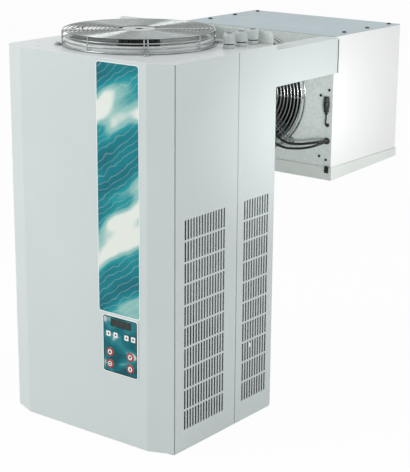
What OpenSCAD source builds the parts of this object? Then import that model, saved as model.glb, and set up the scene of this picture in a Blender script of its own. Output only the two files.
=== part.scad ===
// Straddle monoblock refrigeration unit: a machine body that hangs outside a cold room, a bridge
// that crosses the top of the room's wall and an evaporator that hangs inside the room.
// X runs to the right seen from the front, Y from the front face towards the room, Z up.

/* [Machine body] */
// Width of the machine body
body_w = 402; // [396:2:440]
// Height of the machine body up to its top panel
body_h = 733; // [725:1:800]
// Depth of the machine body, front face to wall face
body_d = 328; // [324:1:360]
// Thickness of the painted and galvanised sheet
sheet = 1.2; // [0.8:0.1:1.6]
// Width of the folded corner, across the front
corner_w = 48; // [36:1:60]
// Depth of the folded corner
corner_d = 20; // [14:1:24]
// Distance from the front face to the second seam in the side
seam_y = 208; // [200:1:215]
// Open seam between two casing panels
seam = 2; // [1:0.5:4]
// Return flange along the edges of a casing panel
flange = 12; // [8:1:14]
// Height of the panels' lower edges above the floor
panel_lift = 3; // [2:0.5:6]
// Height of the upstand behind the top panel
upstand_h = 24; // [16:1:30]
// Radius of the upstand's two upper corners
upstand_r = 10; // [4:1:14]
// Distance of the upstand's ends from the body's sides
upstand_inset = 9; // [4:1:14]

/* [Louvres] */
// Width of a louvre slot
slot_w = 4.6; // [3:0.2:6]
// Length of a louvre slot
slot_h = 37; // [28:1:38]
// Distance between slots along the side
slot_pitch_y = 8.3; // [7.6:0.1:8.4]
// Distance between slot rows
slot_pitch_z = 41; // [40:1:46]
// Rows of slots
slot_rows = 10; // [6:1:11]
// Slots in a row of the front side panel
front_columns = 15; // [8:1:15]
// Distance from the last rear slot to the wall face
rear_slot_edge = 16; // [14:1:40]
// Height of the lowest slots above the floor
slots_z = 42; // [30:1:60]
// Distance from the front face to the first front slot
front_slots_y = 51; // [45:1:60]
// Distance from the front face to the first rear slot
rear_slots_y = 232; // [228:1:235]

/* [Bridge] */
// Clear space for the room's wall and the fan's air
bridge_gap = 217; // [180:1:260]
// Depth of the bridge's upper rim below the top panel
bridge_drop = 9; // [7:1:18]
// Height of the bridge's cheeks
bridge_h = 71; // [62:1:80]
// Width of the flat rim on top of a cheek
rim_w = 42; // [34:1:46]
// Thickness of the bridge's insulated floor
floor_t = 24; // [18:1:28]

/* [Evaporator] */
// Width of the evaporator casing
evap_w = 384; // [376:2:392]
// Depth of the evaporator casing
evap_d = 259; // [250:1:280]
// Depth of the evaporator's lid below the top panel
evap_drop = 7; // [5:1:13]
// Height of the evaporator's side panels
evap_h = 271; // [266:1:290]
// Depth of the drain tray at the wall side
tray_deep = 27; // [22:1:34]
// Depth of the drain tray at the room side
tray_shallow = 18; // [12:1:20]
// Outer radius of the drain spigot
spigot_r = 10; // [8:0.5:12]
// Length of the drain spigot below the tray
spigot_l = 30; // [20:1:40]

/* [Fans] */
// Distance between the condenser fan's blades and the front and wall faces, with the shaft midway
fan_edge = 37; // [36:1:42]
// Running gap between the blade tips and the ring around them
tip_gap = 4; // [3:0.5:5]
// Distance of the condenser fan's shaft left of the middle
fan_left = 8; // [6:1:12]
// Distance of the condenser fan's shaft behind the body's middle
fan_back = 8; // [6:1:10]
// Height of the condenser fan guard above the top panel
guard_h = 30; // [26:1:36]
// Radius of the evaporator fan's blades
evap_fan_r = 110; // [104:1:112]
// Height of the evaporator fan guard's front from the wall behind it
evap_guard_h = 14; // [12:1:18]
// Number of blades on each fan
blades = 5; // [3:1:7]
// Radius of the guards' thin ring wire
ring_wire = 1.2; // [1:0.1:1.4]
// Radius of the guards' thick leg wire
leg_wire = 1.8; // [1.6:0.1:2.2]

/* [Control panel] */
// Width of the control panel's frame
panel_w = 86; // [80:1:96]
// Height of the control panel's frame
panel_h = 114; // [104:1:120]
// Distance of the control panel's middle right of the body's middle
panel_x = 89; // [70:1:100]
// Distance of the control panel below the artwork strip
panel_gap = 3; // [3:1:20]
// Radius of a key's cap
key_r = 8.6; // [7:0.2:9]
// Travel of a key when it is pressed
key_travel = 1; // [0.5:0.1:1.2]
// Width of the artwork strip
strip_w = 101; // [90:1:106]
// Height of the artwork strip
strip_h = 470; // [440:1:480]
// Distance of the artwork strip's middle right of the body's middle
strip_x = 86; // [70:1:95]
// Distance of the artwork strip below the top panel
strip_drop = 5; // [4:1:9]

/* [Cable glands] */
// Radius of a cable gland's cap nut
gland_r = 11.5; // [10:0.5:12]
// Height of a cable gland above the top panel
gland_h = 29; // [24:1:34]
// Radius of a cable gland's bore
gland_bore_r = 6; // [4:0.5:7]
// Distance between neighbouring glands
gland_pitch = 38; // [34:1:39]
// Distance of the glands right of the body's middle
gland_x = 156; // [154:1:160]
// Distance from the first gland to the wall face
gland_back = 92; // [90:1:96]

/* [Hidden] */
$fn = 64;

// Named clearances
fit = 0.3;
over = 1;

// Places that follow from the driving sizes, measured from the front face
half_w = body_w / 2;
seam_edge = seam / 2;
top_z = body_h;
under_top = body_h - sheet;
bridge_end = body_d + bridge_gap;
bridge_top = body_h - bridge_drop;
evap_top = body_h - evap_drop;
rear_columns = floor((body_d - rear_slots_y - rear_slot_edge) / slot_pitch_y) + 1;
bridge_z = bridge_top - bridge_h;
trough_z = bridge_z + floor_t;
trough_half = half_w - rim_w;
bridge_joint = 1.5;
evap_y = bridge_end;
evap_end = evap_y + evap_d;
evap_half = evap_w / 2;
evap_z = evap_top - evap_h;
tray_lip = 2;
key_proud = 1.2;
frame_t = 2;
overall_d = evap_end + tray_lip + frame_t + key_proud;
front_y = frame_t + key_proud - overall_d / 2;

// Base tray and the drain slots in the top panel
top_slot_w = 9;
top_slot_d = 3;
top_slot_edge = 30;
top_slot_in = 66;
tray_t = 1.5;
tray_rim = 30;

// Condenser fan, motor and coil
fan_x = -fan_left;
fan_y = body_d / 2 + fan_back;
fan_r = body_d / 2 - fan_edge;
throat_r = fan_r + tip_gap;
collar_h = 14;
collar_wall = 1.4;
collar_lip_r = 4.5;
collar_drop = 34;
collar_r = throat_r + 2 * collar_lip_r;
guard_gap = 3;
guard_r = collar_r + guard_gap + leg_wire;
guard_pitch = 7.7;
plate_r = 33;
plate_t = 3.4;
ear_r = 5.5;
ear_reach = 8;
ear_wire_gap = 7;
screw_r = 2.1;
screw_head_r = 4.6;
screw_head_h = 2.6;
motor_r = 40;
motor_flange_r = 44;
motor_l = 46;
motor_flange_t = 4;
motor_ribs = 18;
rib_w = 2.4;
rib_deep = 3;
shaft_r = 4;
hub_r = 32;
hub_l = 24;
hub_gap = 4;
hub_wall = 2.5;
hub_boss_r = 9;
blade_t = 1.8;
blade_rise = 25;
blade_camber = 5;
blade_chord = 52;
blade_sweep = 16;
blade_root = 3;
coil_side = 81;
coil_end = 33;
coil_w = body_w - 2 * coil_side;
coil_d = body_d - 2 * coil_end;
coil_h = 50;
coil_drop = 78;
fin_pitch = 6;
fin_gap = 3.4;
fin_web = 8;
plate_gap = 1.2;
tube_r = 4.5;
tube_pitch = 25;
bend_out = 4;
coil_z = under_top - coil_drop - coil_h;
motor_z = guard_h - ring_wire - plate_t - motor_l;
shroud_side = 20;
shroud_end = 3;
shroud_half_x = coil_w / 2 + shroud_side;
shroud_half_y = coil_d / 2 + shroud_end;

// Machinery on the base tray
shell_r = 80;
shell_h = 176;
shell_side = 135;
shell_back = 138;
shell_x = half_w - shell_side;
shell_y = body_d - shell_back;
shell_seam = 3;
dome_h = 26;
foot_h = 16;
foot_r = 13;
foot_plate = 3;
foot_span = 150;
shell_z = tray_t + foot_h + foot_plate;
terminal_w = 56;
terminal_h = 62;
terminal_d = 30;
receiver_r = 36;
receiver_h = 150;
receiver_side = 81;
receiver_back = 100;
receiver_x = receiver_side - half_w;
receiver_y = body_d - receiver_back;
receiver_z = tray_t;
receiver_foot_r = 42;
drier_r = 15;
drier_l = 84;
drier_side = 141;
drier_x = drier_side - half_w;
switch_r = 12;
switch_h = 38;
box_w = 112;
box_d = 60;
box_h = 130;
box_wall = 2;
box_gap = 8;
box_z = round(coil_z - box_gap - box_h);

// Pipes, as radii and the places of their runs
thin_pipe = 4;
hot_pipe = 5;
cold_pipe = 8;
thin_bend = 14;
cold_bend = 20;
pipe_in = 24;
hot_x = shell_x - pipe_in;
cold_x = shell_x + pipe_in;
stub_h = 14;
hot_start_z = shell_z + shell_h + stub_h;
coil_end_x = fan_x - coil_w / 2 - plate_gap;
riser_side = 36;
riser_x = riser_side - half_w;
back_run_y = body_d - sheet - cold_pipe - over;
liquid_side = 89;
suction_side = 59;
liquid_x = liquid_side - half_w;
suction_x = suction_side - half_w;
receiver_top = receiver_z + receiver_h + stub_h / 2;
pipe_span = coil_z - receiver_top;
receiver_run_share = 0.25;
drier_share = 0.385;
cold_run_share = 0.632;
liquid_run_share = 0.79;
hot_run_share = 0.893;
receiver_run_z = round(receiver_top + receiver_run_share * pipe_span);
drier_z = round(receiver_top + drier_share * pipe_span);
cold_run_z = round(receiver_top + cold_run_share * pipe_span);
liquid_run_z = round(receiver_top + liquid_run_share * pipe_span);
hot_run_z = round(receiver_top + hot_run_share * pipe_span);
riser_in = 17;
crossing_drop = 32;
crossing_z = bridge_top - crossing_drop;
pipe_window_w = 84;
pipe_window_h = 30;

// Control panel
panel_corner_r = 6;
panel_hole_edge = 8;
display_w = 50;
display_h = 15;
display_lift = 93;
display_shift = 2;
panel_z = under_top - strip_drop - strip_h - panel_gap - panel_h;
display_z = panel_z + display_lift;
display_x = panel_x + display_shift;
window_lip = 1.5;
window_t = 1;
lamp_r = 2.4;
lamp_lift = 77;
lamp_z = panel_z + lamp_lift;
lamp_shares = [-0.333, -0.131, 0.179, 0.369];
key_gap = 0.3;
key_rim = 0.9;
key_rim_t = 1.5;
key_stem_r = 3;
key_lift = 18;
key_low_z = panel_z + key_lift;
key_pitch_z = 23.5;
key_pitch_x = 49.5;
board_y = 6;
board_d = 24;
board_w = 72;
board_h = 100;
strip_t = 0.5;
strip_corner_r = 7;

// Cable glands
gland_y = body_d - gland_back;
gland_hex_r = 12;
gland_hex_h = 7;
gland_seal_h = 2;
gland_cap_h = 15;
gland_thread_r = 8;
gland_nut_h = 5;

// Evaporator
evap_flange = 14;
wall_hole_r = 2.2;
fan_lift = 139;
fan_z = evap_z + fan_lift;
evap_throat_r = evap_fan_r + tip_gap;
ring_flange = 8;
ring_wall = 1.2;
ring_l = 44;
evap_guard_r = evap_throat_r + ring_flange + guard_gap;
evap_guard_pitch = 8.4;
evap_motor_l = 34;
evap_coil_side = 42;
evap_coil_w = evap_w - 2 * evap_coil_side;
evap_coil_h = 240;
evap_coil_d = 60;
evap_coil_back = 8;
evap_coil_lift = 8;
evap_motor_z = evap_guard_h - ring_wire - plate_t - evap_motor_l;
evap_coil_y = evap_end - sheet - evap_coil_back - evap_coil_d;
evap_coil_z = evap_z + evap_coil_lift;
evap_pipe_x = -evap_coil_w / 2 - plate_gap;
evap_riser_x = riser_in - evap_half;
suction_out_z = evap_coil_z + tube_pitch / 2;
suction_run_z = evap_coil_z + evap_coil_h / 2;
outlet_lip = 16;
lid_skirt = 10;
lid_screw_in = 19;
lid_screw_shares = [0.25, 0.6, 0.94];
spigot_x = -100;
spigot_back = 26;
spigot_wall = 2;
spigot_root = 3;
spigot_root_r = spigot_r + 3;
spigot_bore_r = spigot_r - spigot_wall;
fixing_x = 150;
fixing_low_z = 120;
fixing_high_z = 520;
fixing_r = 4.5;

// Cables and their glands at the evaporator's wall
cable_in = 11;
cable_lift = 55;
probe_lift = 116;
loop_lift = 88;
cable_x = evap_half - cable_in;
cable_z = evap_z + cable_lift;
grommet_r = 7;
grommet_h = 6;
cable_r = 2.6;
cable_turn = 12;
cable_out = 18;
cable_slope = 60;
cable_lead = 2.6;
upper_cable_angle = -8;
lower_cable_angle = -32.5;
loop_r = 1.6;
probe_z = evap_z + probe_lift;
probe_l = 32;
probe_r = 5.5;
probe_collar_r = 6.5;
loop_end_z = evap_z + loop_lift;
clip_w = 9;
clip_t = 2;
clip_drop = 12;

// Colours, as the photograph shows them
painted = "#d0d8d5";
bright_painted = "#eceeec";
galvanised = "#a8b3af";
lid_grey = "#b4c3cb";
wire_grey = "#c9cdcd";
black = "#1c1e20";
copper = "#b8704a";
teal = "#007d87";

// Moves a piece from front-based places to the unit's own frame, whose origin is under its middle
module placed() {
    translate([0, front_y, 0]) children();
}

// A box between two opposite corners
module span(low, high) {
    translate(low) cube(high - low);
}

// The same piece on the left side
module mirrored() {
    mirror([1, 0, 0]) children();
}

// A flat rectangle with round corners about the middle
module round_rect(w, h, r) {
    square([w - 2 * r, h], center = true);
    square([w, h - 2 * r], center = true);
    for (x = [-1, 1], y = [-1, 1]) {
        translate([x * (w / 2 - r), y * (h / 2 - r)]) circle(r);
    }
}

// A plate with round corners standing upright, from its front face backwards
module upright_plate(x, y, z, w, h, t, r) {
    translate([x, y + t, z]) rotate([90, 0, 0]) linear_extrude(t) round_rect(w, h, r);
}

// A cylinder along Y, from its front end backwards
module along_y(x, y, z, r, l) {
    translate([x, y + l, z]) rotate([90, 0, 0]) cylinder(r = r, h = l);
}

// A torus lying flat
module wire_ring(r, z, wire) {
    translate([0, 0, z]) rotate_extrude() translate([r, 0]) circle(wire, $fn = 16);
}

// Unit vector of one axis-aligned step between two points
function step_dir(a, b) = (b - a) / norm(b - a);

// One straight length of pipe, cut back at either end by its bends
module pipe_length(a, b, r, cut_a, cut_b) {
    d = step_dir(a, b);
    u = abs(d[2]) > 0.5 ? [1, 0, 0] : [0, 0, 1];
    v = cross(d, u);
    p = a + d * cut_a;
    multmatrix([
        [u[0], v[0], d[0], p[0]], [u[1], v[1], d[1], p[1]], [u[2], v[2], d[2], p[2]], [0, 0, 0, 1]
    ]) cylinder(r = r, h = norm(b - a) - cut_a - cut_b, $fn = 32);
}

// One square bend of pipe at point p, entered along a and left along b
module pipe_bend(p, a, b, r, bend) {
    c = p + (b - a) * bend;
    n = cross(-b, a);
    multmatrix([
        [-b[0], a[0], n[0], c[0]], [-b[1], a[1], n[1], c[1]], [-b[2], a[2], n[2], c[2]], [0, 0, 0, 1]
    ]) rotate_extrude(angle = 90) translate([bend, 0]) circle(r, $fn = 32);
}

// A pipe along square steps, with a round bend at each inner point
module pipe_run(points, r, bend) {
    last = len(points) - 1;
    for (i = [0 : last - 1]) {
        cut_a = i == 0 ? 0 : bend;
        cut_b = i == last - 1 ? 0 : bend;
        pipe_length(points[i], points[i + 1], r, cut_a, cut_b);
    }
    for (i = [1 : last - 1]) {
        a = step_dir(points[i - 1], points[i]);
        b = step_dir(points[i], points[i + 1]);
        pipe_bend(points[i], a, b, r, bend);
    }
}

// A point on the smooth curve through a route's points
function curve_point(p0, p1, p2, p3, t) =
    (2 * p1 + (p2 - p0) * t + (2 * p0 - 5 * p1 + 4 * p2 - p3) * t * t
    + (3 * p1 - p0 - 3 * p2 + p3) * t * t * t) / 2;
function curve(points, steps) = [
    for (i = [0 : len(points) - 2], s = [0 : steps - 1])
        curve_point(points[max(i - 1, 0)], points[i], points[i + 1],
            points[min(i + 2, len(points) - 1)], s / steps),
    points[len(points) - 1]
];
function tangents(path) = [
    for (i = [0 : len(path) - 1])
        step_dir(path[max(i - 1, 0)], path[min(i + 1, len(path) - 1)])
];
function square_to(t, n) = let (m = n - t * (n * t)) m / norm(m);
function normals(t, i, n) = i == len(t) ? [] :
    let (m = square_to(t[i], n)) concat([m], normals(t, i + 1, m));

// A round cable swept along a path, as one closed skin of triangles
module cable(path, r, sides, first_normal) {
    t = tangents(path);
    n = normals(t, 0, first_normal);
    count = len(path);
    rings = [
        for (i = [0 : count - 1], k = [0 : sides - 1])
            let (a = 360 * k / sides)
                path[i] + n[i] * r * cos(a) + cross(t[i], n[i]) * r * sin(a)
    ];
    skin = [
        for (i = [0 : count - 2], k = [0 : sides - 1])
            let (a = i * sides + k, b = i * sides + (k + 1) % sides)
                each [[a, b + sides, b], [a, a + sides, b + sides]]
    ];
    ends = [
        for (k = [1 : sides - 2])
            each [
                [0, k, k + 1],
                [(count - 1) * sides, (count - 1) * sides + k + 1, (count - 1) * sides + k]
            ]
    ];
    polyhedron(rings, concat(skin, ends));
}

// Casing of the machine body

// Outline of the body seen from above, with the two folded corners, up to a given depth
module body_outline(depth) {
    polygon([
        [-half_w, depth], [-half_w, corner_d], [corner_w - half_w, 0], [half_w - corner_w, 0],
        [half_w, corner_d], [half_w, depth]
    ]);
}

// The hollow of the front panel seen from above, one sheet thickness inside its outline
module front_hollow() {
    fold = norm([corner_w, corner_d]);
    near = half_w - corner_w - sheet * (fold - corner_w) / corner_d;
    far = half_w - sheet * (fold + corner_w) / corner_d;
    polygon([[-far, corner_d - sheet], [-near, sheet], [near, sheet], [far, corner_d - sheet]]);
    translate([flange - half_w, corner_d - 2 * sheet]) square([body_w - 2 * flange, 3 * sheet]);
}

module base_tray() placed() color(galvanised) {
    x = half_w - sheet - fit;
    y0 = corner_d + fit;
    y1 = body_d - sheet - fit;
    difference() {
        span([-x, y0, 0], [x, y1, tray_rim]);
        span([tray_t - x, y0 + tray_t, tray_t], [x - tray_t, y1 - tray_t, tray_rim + over]);
    }
}

module front_panel() placed() color(painted) difference() {
    union() {
        translate([0, 0, panel_lift]) linear_extrude(under_top - panel_lift) difference() {
            body_outline(corner_d);
            front_hollow();
        }
        translate([0, 0, panel_lift]) linear_extrude(sheet) body_outline(corner_d);
        translate([0, 0, under_top - sheet]) linear_extrude(sheet) body_outline(corner_d);
    }
    // Opening for the control board and the keys
    span(
        [panel_x - panel_w / 2 + panel_hole_edge / 2, -over, panel_z + panel_hole_edge / 2],
        [panel_x + panel_w / 2 - panel_hole_edge / 2, sheet + over, panel_z + panel_h - panel_hole_edge / 2]
    );
}

// Slots punched through a right-hand side panel
module louvre_slots(first_y, columns) {
    for (c = [0 : columns - 1], r = [0 : slot_rows - 1]) {
        translate([half_w - 2 * sheet, first_y + c * slot_pitch_y - slot_w / 2, slots_z + r * slot_pitch_z])
            cube([3 * sheet, slot_w, slot_h]);
    }
}

module side_panel() difference() {
    y0 = corner_d + seam;
    y1 = seam_y - seam_edge;
    span([half_w - flange, y0, panel_lift], [half_w, y1, under_top]);
    span(
        [half_w - flange - over, y0 + sheet, panel_lift + sheet],
        [half_w - sheet, y1 - sheet, under_top - sheet]
    );
    // No flanges beside the base tray, whose rim stands inside the panel
    span([half_w - flange - over, y0 - over, 0], [half_w - sheet, y1 + over, tray_rim + fit]);
    louvre_slots(front_slots_y, front_columns);
}

module right_side_panel() placed() color(painted) side_panel();

module left_side_panel() placed() color(painted) mirrored() side_panel();

// L-shaped sheet of the rear side panel, which runs on as the cheek of the bridge
module rear_panel() difference() {
    y0 = seam_y + seam_edge;
    y1 = bridge_end - bridge_joint;
    union() {
        translate([half_w - sheet, 0, 0]) rotate([90, 0, 90]) linear_extrude(sheet) polygon([
            [y0, panel_lift], [body_d, panel_lift], [body_d, bridge_z], [y1, bridge_z],
            [y1, bridge_top], [body_d, bridge_top], [body_d, under_top], [y0, under_top]
        ]);
        // Return flange at the seam, flat rim on the cheek and its closed end
        span([half_w - flange, y0, tray_rim + fit], [half_w, y0 + sheet, under_top]);
        span([half_w - rim_w, body_d, bridge_top - sheet], [half_w, y1, bridge_top]);
        span([half_w - rim_w, y1 - sheet, trough_z], [half_w, y1, bridge_top]);
    }
    louvre_slots(rear_slots_y, rear_columns);
}

module right_rear_panel() placed() color(painted) rear_panel();

module left_rear_panel() placed() color(painted) mirrored() rear_panel();

// Back panel with its upstand, the window for the pipes and the holes for fixing to the wall
module back_panel() placed() color(galvanised) {
    wide = half_w - sheet;
    high = top_z + upstand_h;
    up_half = half_w - upstand_inset;
    window_x = (liquid_x + suction_x) / 2;
    difference() {
        union() {
            span([-wide, body_d - sheet, panel_lift], [wide, body_d, under_top]);
            span([-up_half, body_d - sheet, under_top - over], [up_half, body_d, high - upstand_r]);
            span([upstand_r - up_half, body_d - sheet, under_top], [up_half - upstand_r, body_d, high]);
            for (side = [-1, 1]) {
                along_y(side * (up_half - upstand_r), body_d - sheet, high - upstand_r, upstand_r, sheet);
                span(
                    [side * (wide - sheet / 2) - sheet / 2, body_d - flange, tray_rim + fit],
                    [side * (wide - sheet / 2) + sheet / 2, body_d, under_top]
                );
            }
        }
        span(
            [window_x - pipe_window_w / 2, body_d - 2 * sheet, crossing_z - pipe_window_h / 2],
            [window_x + pipe_window_w / 2, body_d + over, crossing_z + pipe_window_h / 2]
        );
        for (x = [-fixing_x, fixing_x], z = [fixing_low_z, fixing_high_z]) {
            along_y(x, body_d - sheet - over, z, fixing_r, sheet + 2 * over);
        }
    }
}

// Small drain slots lie near the top panel's corners
module top_panel() placed() color(bright_painted) difference() {
    translate([0, 0, under_top]) linear_extrude(sheet) body_outline(body_d - sheet);
    translate([fan_x, fan_y, under_top - over])
        cylinder(r = throat_r + 2 * collar_wall, h = sheet + 2 * over, $fn = 96);
    for (i = [0 : 2]) {
        translate([gland_x, gland_y + i * gland_pitch, under_top - over])
            cylinder(r = gland_thread_r + fit, h = sheet + 2 * over);
    }
    for (side = [-1, 1]) {
        span(
            [side * (half_w - top_slot_edge) - top_slot_w / 2, top_slot_in, under_top - over],
            [side * (half_w - top_slot_edge) + top_slot_w / 2, top_slot_in + top_slot_d, top_z + over]
        );
        span(
            [side * (half_w - top_slot_in) - top_slot_w / 2, top_slot_edge, under_top - over],
            [side * (half_w - top_slot_in) + top_slot_w / 2, top_slot_edge + top_slot_d, top_z + over]
        );
    }
    ear_holes();
}

// Wire guards, motors and impellers, each drawn about its own shaft with the mounting face at zero

// Places of the four ears, on the diagonals
module at_ears(radius) {
    for (a = [45 : 90 : 315]) {
        rotate(a) translate([radius, 0, 0]) children();
    }
}

module ear_holes() {
    translate([fan_x, fan_y, under_top - over]) at_ears(guard_r + ear_reach)
        cylinder(r = screw_r + fit / 2, h = sheet + 2 * over, $fn = 24);
}

// A wire that runs out over the guard and turns down to the mounting face
module leg(r, h, wire, foot) {
    translate([plate_r - wire, 0, h]) rotate([0, 90, 0])
        cylinder(r = wire, h = r - plate_r + wire, $fn = 16);
    translate([r, 0, h]) sphere(wire, $fn = 16);
    translate([r, 0, foot]) cylinder(r = wire, h = h - foot, $fn = 16);
}

// A basket guard: round rings on legs, with ears on the diagonals and a plate for the motor
module wire_guard(r, h, pitch, side_rings) {
    top = h - ring_wire;
    rings = floor((r - plate_r - pitch / 2) / pitch);
    for (i = [0 : rings - 1]) {
        wire_ring(r - leg_wire - i * pitch, top, ring_wire);
    }
    for (i = [1 : 1 : side_rings]) {
        wire_ring(r, top - i * (top - leg_wire) / (side_rings + 1), ring_wire);
    }
    wire_ring(r, leg_wire, leg_wire);
    translate([0, 0, top - plate_t]) difference() {
        cylinder(r = plate_r, h = plate_t);
        translate([0, 0, -over]) cylinder(r = shaft_r * 2, h = plate_t + 2 * over);
    }
    for (a = [0 : 90 : 270]) {
        rotate(a) leg(r, top - leg_wire, leg_wire * 0.8, leg_wire);
    }
    for (a = [45 : 90 : 315], s = [-1, 1]) {
        rotate(a) translate([0, s * ear_wire_gap / 2, 0]) leg(r, top - leg_wire, leg_wire * 0.7, leg_wire);
    }
    at_ears(r + ear_reach) wire_ring(ear_r, leg_wire * 0.8, leg_wire * 0.8);
}

// A motor that hangs under the guard's plate, with a ribbed case and its shaft
module fan_motor(l) {
    difference() {
        cylinder(r = motor_r, h = l);
        for (i = [0 : motor_ribs - 1]) {
            rotate(360 * i / motor_ribs) translate([motor_r - rib_deep, -rib_w / 2, motor_flange_t * 2])
                cube([2 * rib_deep, rib_w, l - motor_flange_t * 4]);
        }
    }
    translate([0, 0, l / 2 - motor_flange_t / 2]) difference() {
        cylinder(r = motor_flange_r, h = motor_flange_t);
        translate([0, 0, -over]) cylinder(r = motor_r - rib_deep, h = motor_flange_t + 2 * over);
    }
    translate([0, 0, -hub_l]) cylinder(r = shaft_r, h = hub_l + over);
}

// Point of a blade: u runs out from the hub, v from the leading to the trailing edge
function blade_point(tip, u, v, side) =
    let (r = hub_r - blade_root + u * (tip - hub_r + blade_root),
        chord = blade_chord * (0.72 + 0.55 * u),
        across = (v - 0.5) * chord + blade_sweep * u * u,
        a = across / r * 180 / PI * (0.55 + 0.45 * u),
        z = (v - 0.5) * blade_rise * (1.15 - 0.35 * u) + blade_camber * 4 * v * (1 - v),
        t = blade_t * (0.35 + 2.6 * v * (1 - v)))
    [r * cos(a), r * sin(a), z + side * t / 2];

module blade(tip) {
    nu = 7;
    nv = 6;
    row = nv + 1;
    face = (nu + 1) * row;
    points = [
        for (side = [-1, 1], i = [0 : nu], j = [0 : nv]) blade_point(tip, i / nu, j / nv, side)
    ];
    skins = [
        for (i = [0 : nu - 1], j = [0 : nv - 1])
            let (a = i * row + j, b = a + row, c = b + 1, d = a + 1)
                each [
                    [a, b, c], [a, c, d],
                    [a + face, c + face, b + face], [a + face, d + face, c + face]
                ]
    ];
    rims = [
        for (j = [0 : nv - 1], i = [0, nu])
            let (a = i * row + j, b = a + 1)
                each i == 0
                    ? [[a, b, b + face], [a, b + face, a + face]]
                    : [[a, b + face, b], [a, a + face, b + face]]
    ];
    edges = [
        for (i = [0 : nu - 1], j = [0, nv])
            let (a = i * row + j, b = a + row)
                each j == 0
                    ? [[a, b + face, b], [a, a + face, b + face]]
                    : [[a, b, b + face], [a, b + face, a + face]]
    ];
    polyhedron(points, concat(skins, rims, edges));
}

// An impeller: a cup-shaped hub with a bored boss and its blades
module impeller(tip) {
    difference() {
        union() {
            cylinder(r = hub_r, h = hub_l);
            for (i = [0 : blades - 1]) {
                rotate(360 * i / blades) translate([0, 0, hub_l / 2]) blade(tip);
            }
        }
        translate([0, 0, hub_wall]) difference() {
            cylinder(r = hub_r - hub_wall, h = hub_l);
            translate([0, 0, -over]) cylinder(r = hub_boss_r, h = hub_l - hub_gap);
        }
        translate([0, 0, -over]) cylinder(r = shaft_r + fit, h = hub_l + 2 * over);
    }
}

// Puts a piece on the top panel
module on_top_at(x, y) {
    translate([x, y, top_z]) children();
}

// Puts a fan's piece on the top panel, with its shaft upright
module on_top() {
    on_top_at(fan_x, fan_y) children();
}

// Puts a fan's piece on the evaporator's wall, facing the machine body
module on_wall() {
    translate([0, evap_y, fan_z]) rotate([90, 0, 0]) children();
}

module fan_collar() placed() color(bright_painted) on_top() {
    lip_x = throat_r + collar_lip_r;
    rotate_extrude($fn = 96) {
        translate([throat_r, -collar_drop]) square([collar_wall, collar_drop + collar_h - collar_lip_r]);
        translate([collar_r - collar_wall, 0]) square([collar_wall, collar_h - collar_lip_r]);
        translate([lip_x, collar_h - collar_lip_r]) difference() {
            circle(collar_lip_r, $fn = 32);
            circle(collar_lip_r - collar_wall, $fn = 32);
            translate([-2 * collar_lip_r, -2 * collar_lip_r]) square([4 * collar_lip_r, 2 * collar_lip_r]);
        }
    }
}

module condenser_fan_guard() placed() color(wire_grey) on_top()
    wire_guard(guard_r, guard_h, guard_pitch, 2);

module guard_screws() placed() color(galvanised) on_top() at_ears(guard_r + ear_reach) {
    translate([0, 0, leg_wire * 1.6]) cylinder(r = screw_head_r, h = screw_head_h, $fn = 32);
    translate([0, 0, -screw_head_h * 2])
        cylinder(r = screw_r, h = screw_head_h * 2 + leg_wire * 1.6, $fn = 24);
}

module condenser_motor() placed() color(black) on_top() translate([0, 0, motor_z]) fan_motor(motor_l);

module condenser_fan() placed() color("#8d9495") on_top()
    translate([0, 0, motor_z - hub_l - hub_gap]) impeller(fan_r);

// Condenser coil under the fan, and the shroud that carries it

// A finned block with its tube bends and end plates, X along the tubes, from its lower front corner
module coil(w, d, h, rows_across) {
    difference() {
        cube([w, d, h]);
        for (x = [fin_pitch : fin_pitch : w - fin_pitch]) {
            translate([x - fin_gap / 2, -over, -over])
                cube([fin_gap, d + 2 * over, (h - fin_web) / 2 + over]);
            translate([x - fin_gap / 2, -over, (h + fin_web) / 2]) cube([fin_gap, d + 2 * over, h / 2]);
        }
    }
    for (x = [-plate_gap, w]) {
        translate([x, 0, 0]) cube([plate_gap, d, h]);
    }
    for (i = [0 : rows_across - 1]) {
        y = d / 2 + (i - (rows_across - 1) / 2) * 2 * tube_pitch;
        for (side = [0, 1]) {
            translate([side * (w + 2 * plate_gap) - plate_gap, y, h / 2]) mirror([1 - side, 0, 0]) {
                tube_bend();
            }
        }
    }
}

// A tube's return bend, standing out from the end plate towards +X
module tube_bend() {
    for (s = [-1, 1]) {
        translate([0, s * tube_pitch / 2, 0]) rotate([0, 90, 0])
            cylinder(r = tube_r, h = bend_out, $fn = 24);
    }
    translate([bend_out, 0, 0]) rotate(-90) rotate_extrude(angle = 180, $fn = 48)
        translate([tube_pitch / 2, 0]) circle(tube_r, $fn = 24);
}

module condenser_coil() placed() color("#c4c8c8")
    translate([fan_x - coil_w / 2, fan_y - coil_d / 2, coil_z]) coil(coil_w, coil_d, coil_h, 4);

module condenser_shroud() placed() color(galvanised) difference() {
    span(
        [fan_x - shroud_half_x, fan_y - shroud_half_y, coil_z + coil_h],
        [fan_x + shroud_half_x, fan_y + shroud_half_y, under_top]
    );
    span(
        [fan_x - shroud_half_x + sheet, fan_y - shroud_half_y + sheet, coil_z],
        [fan_x + shroud_half_x - sheet, fan_y + shroud_half_y - sheet, top_z]
    );
}

// Compressor, receiver and the rest of the machinery

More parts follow.
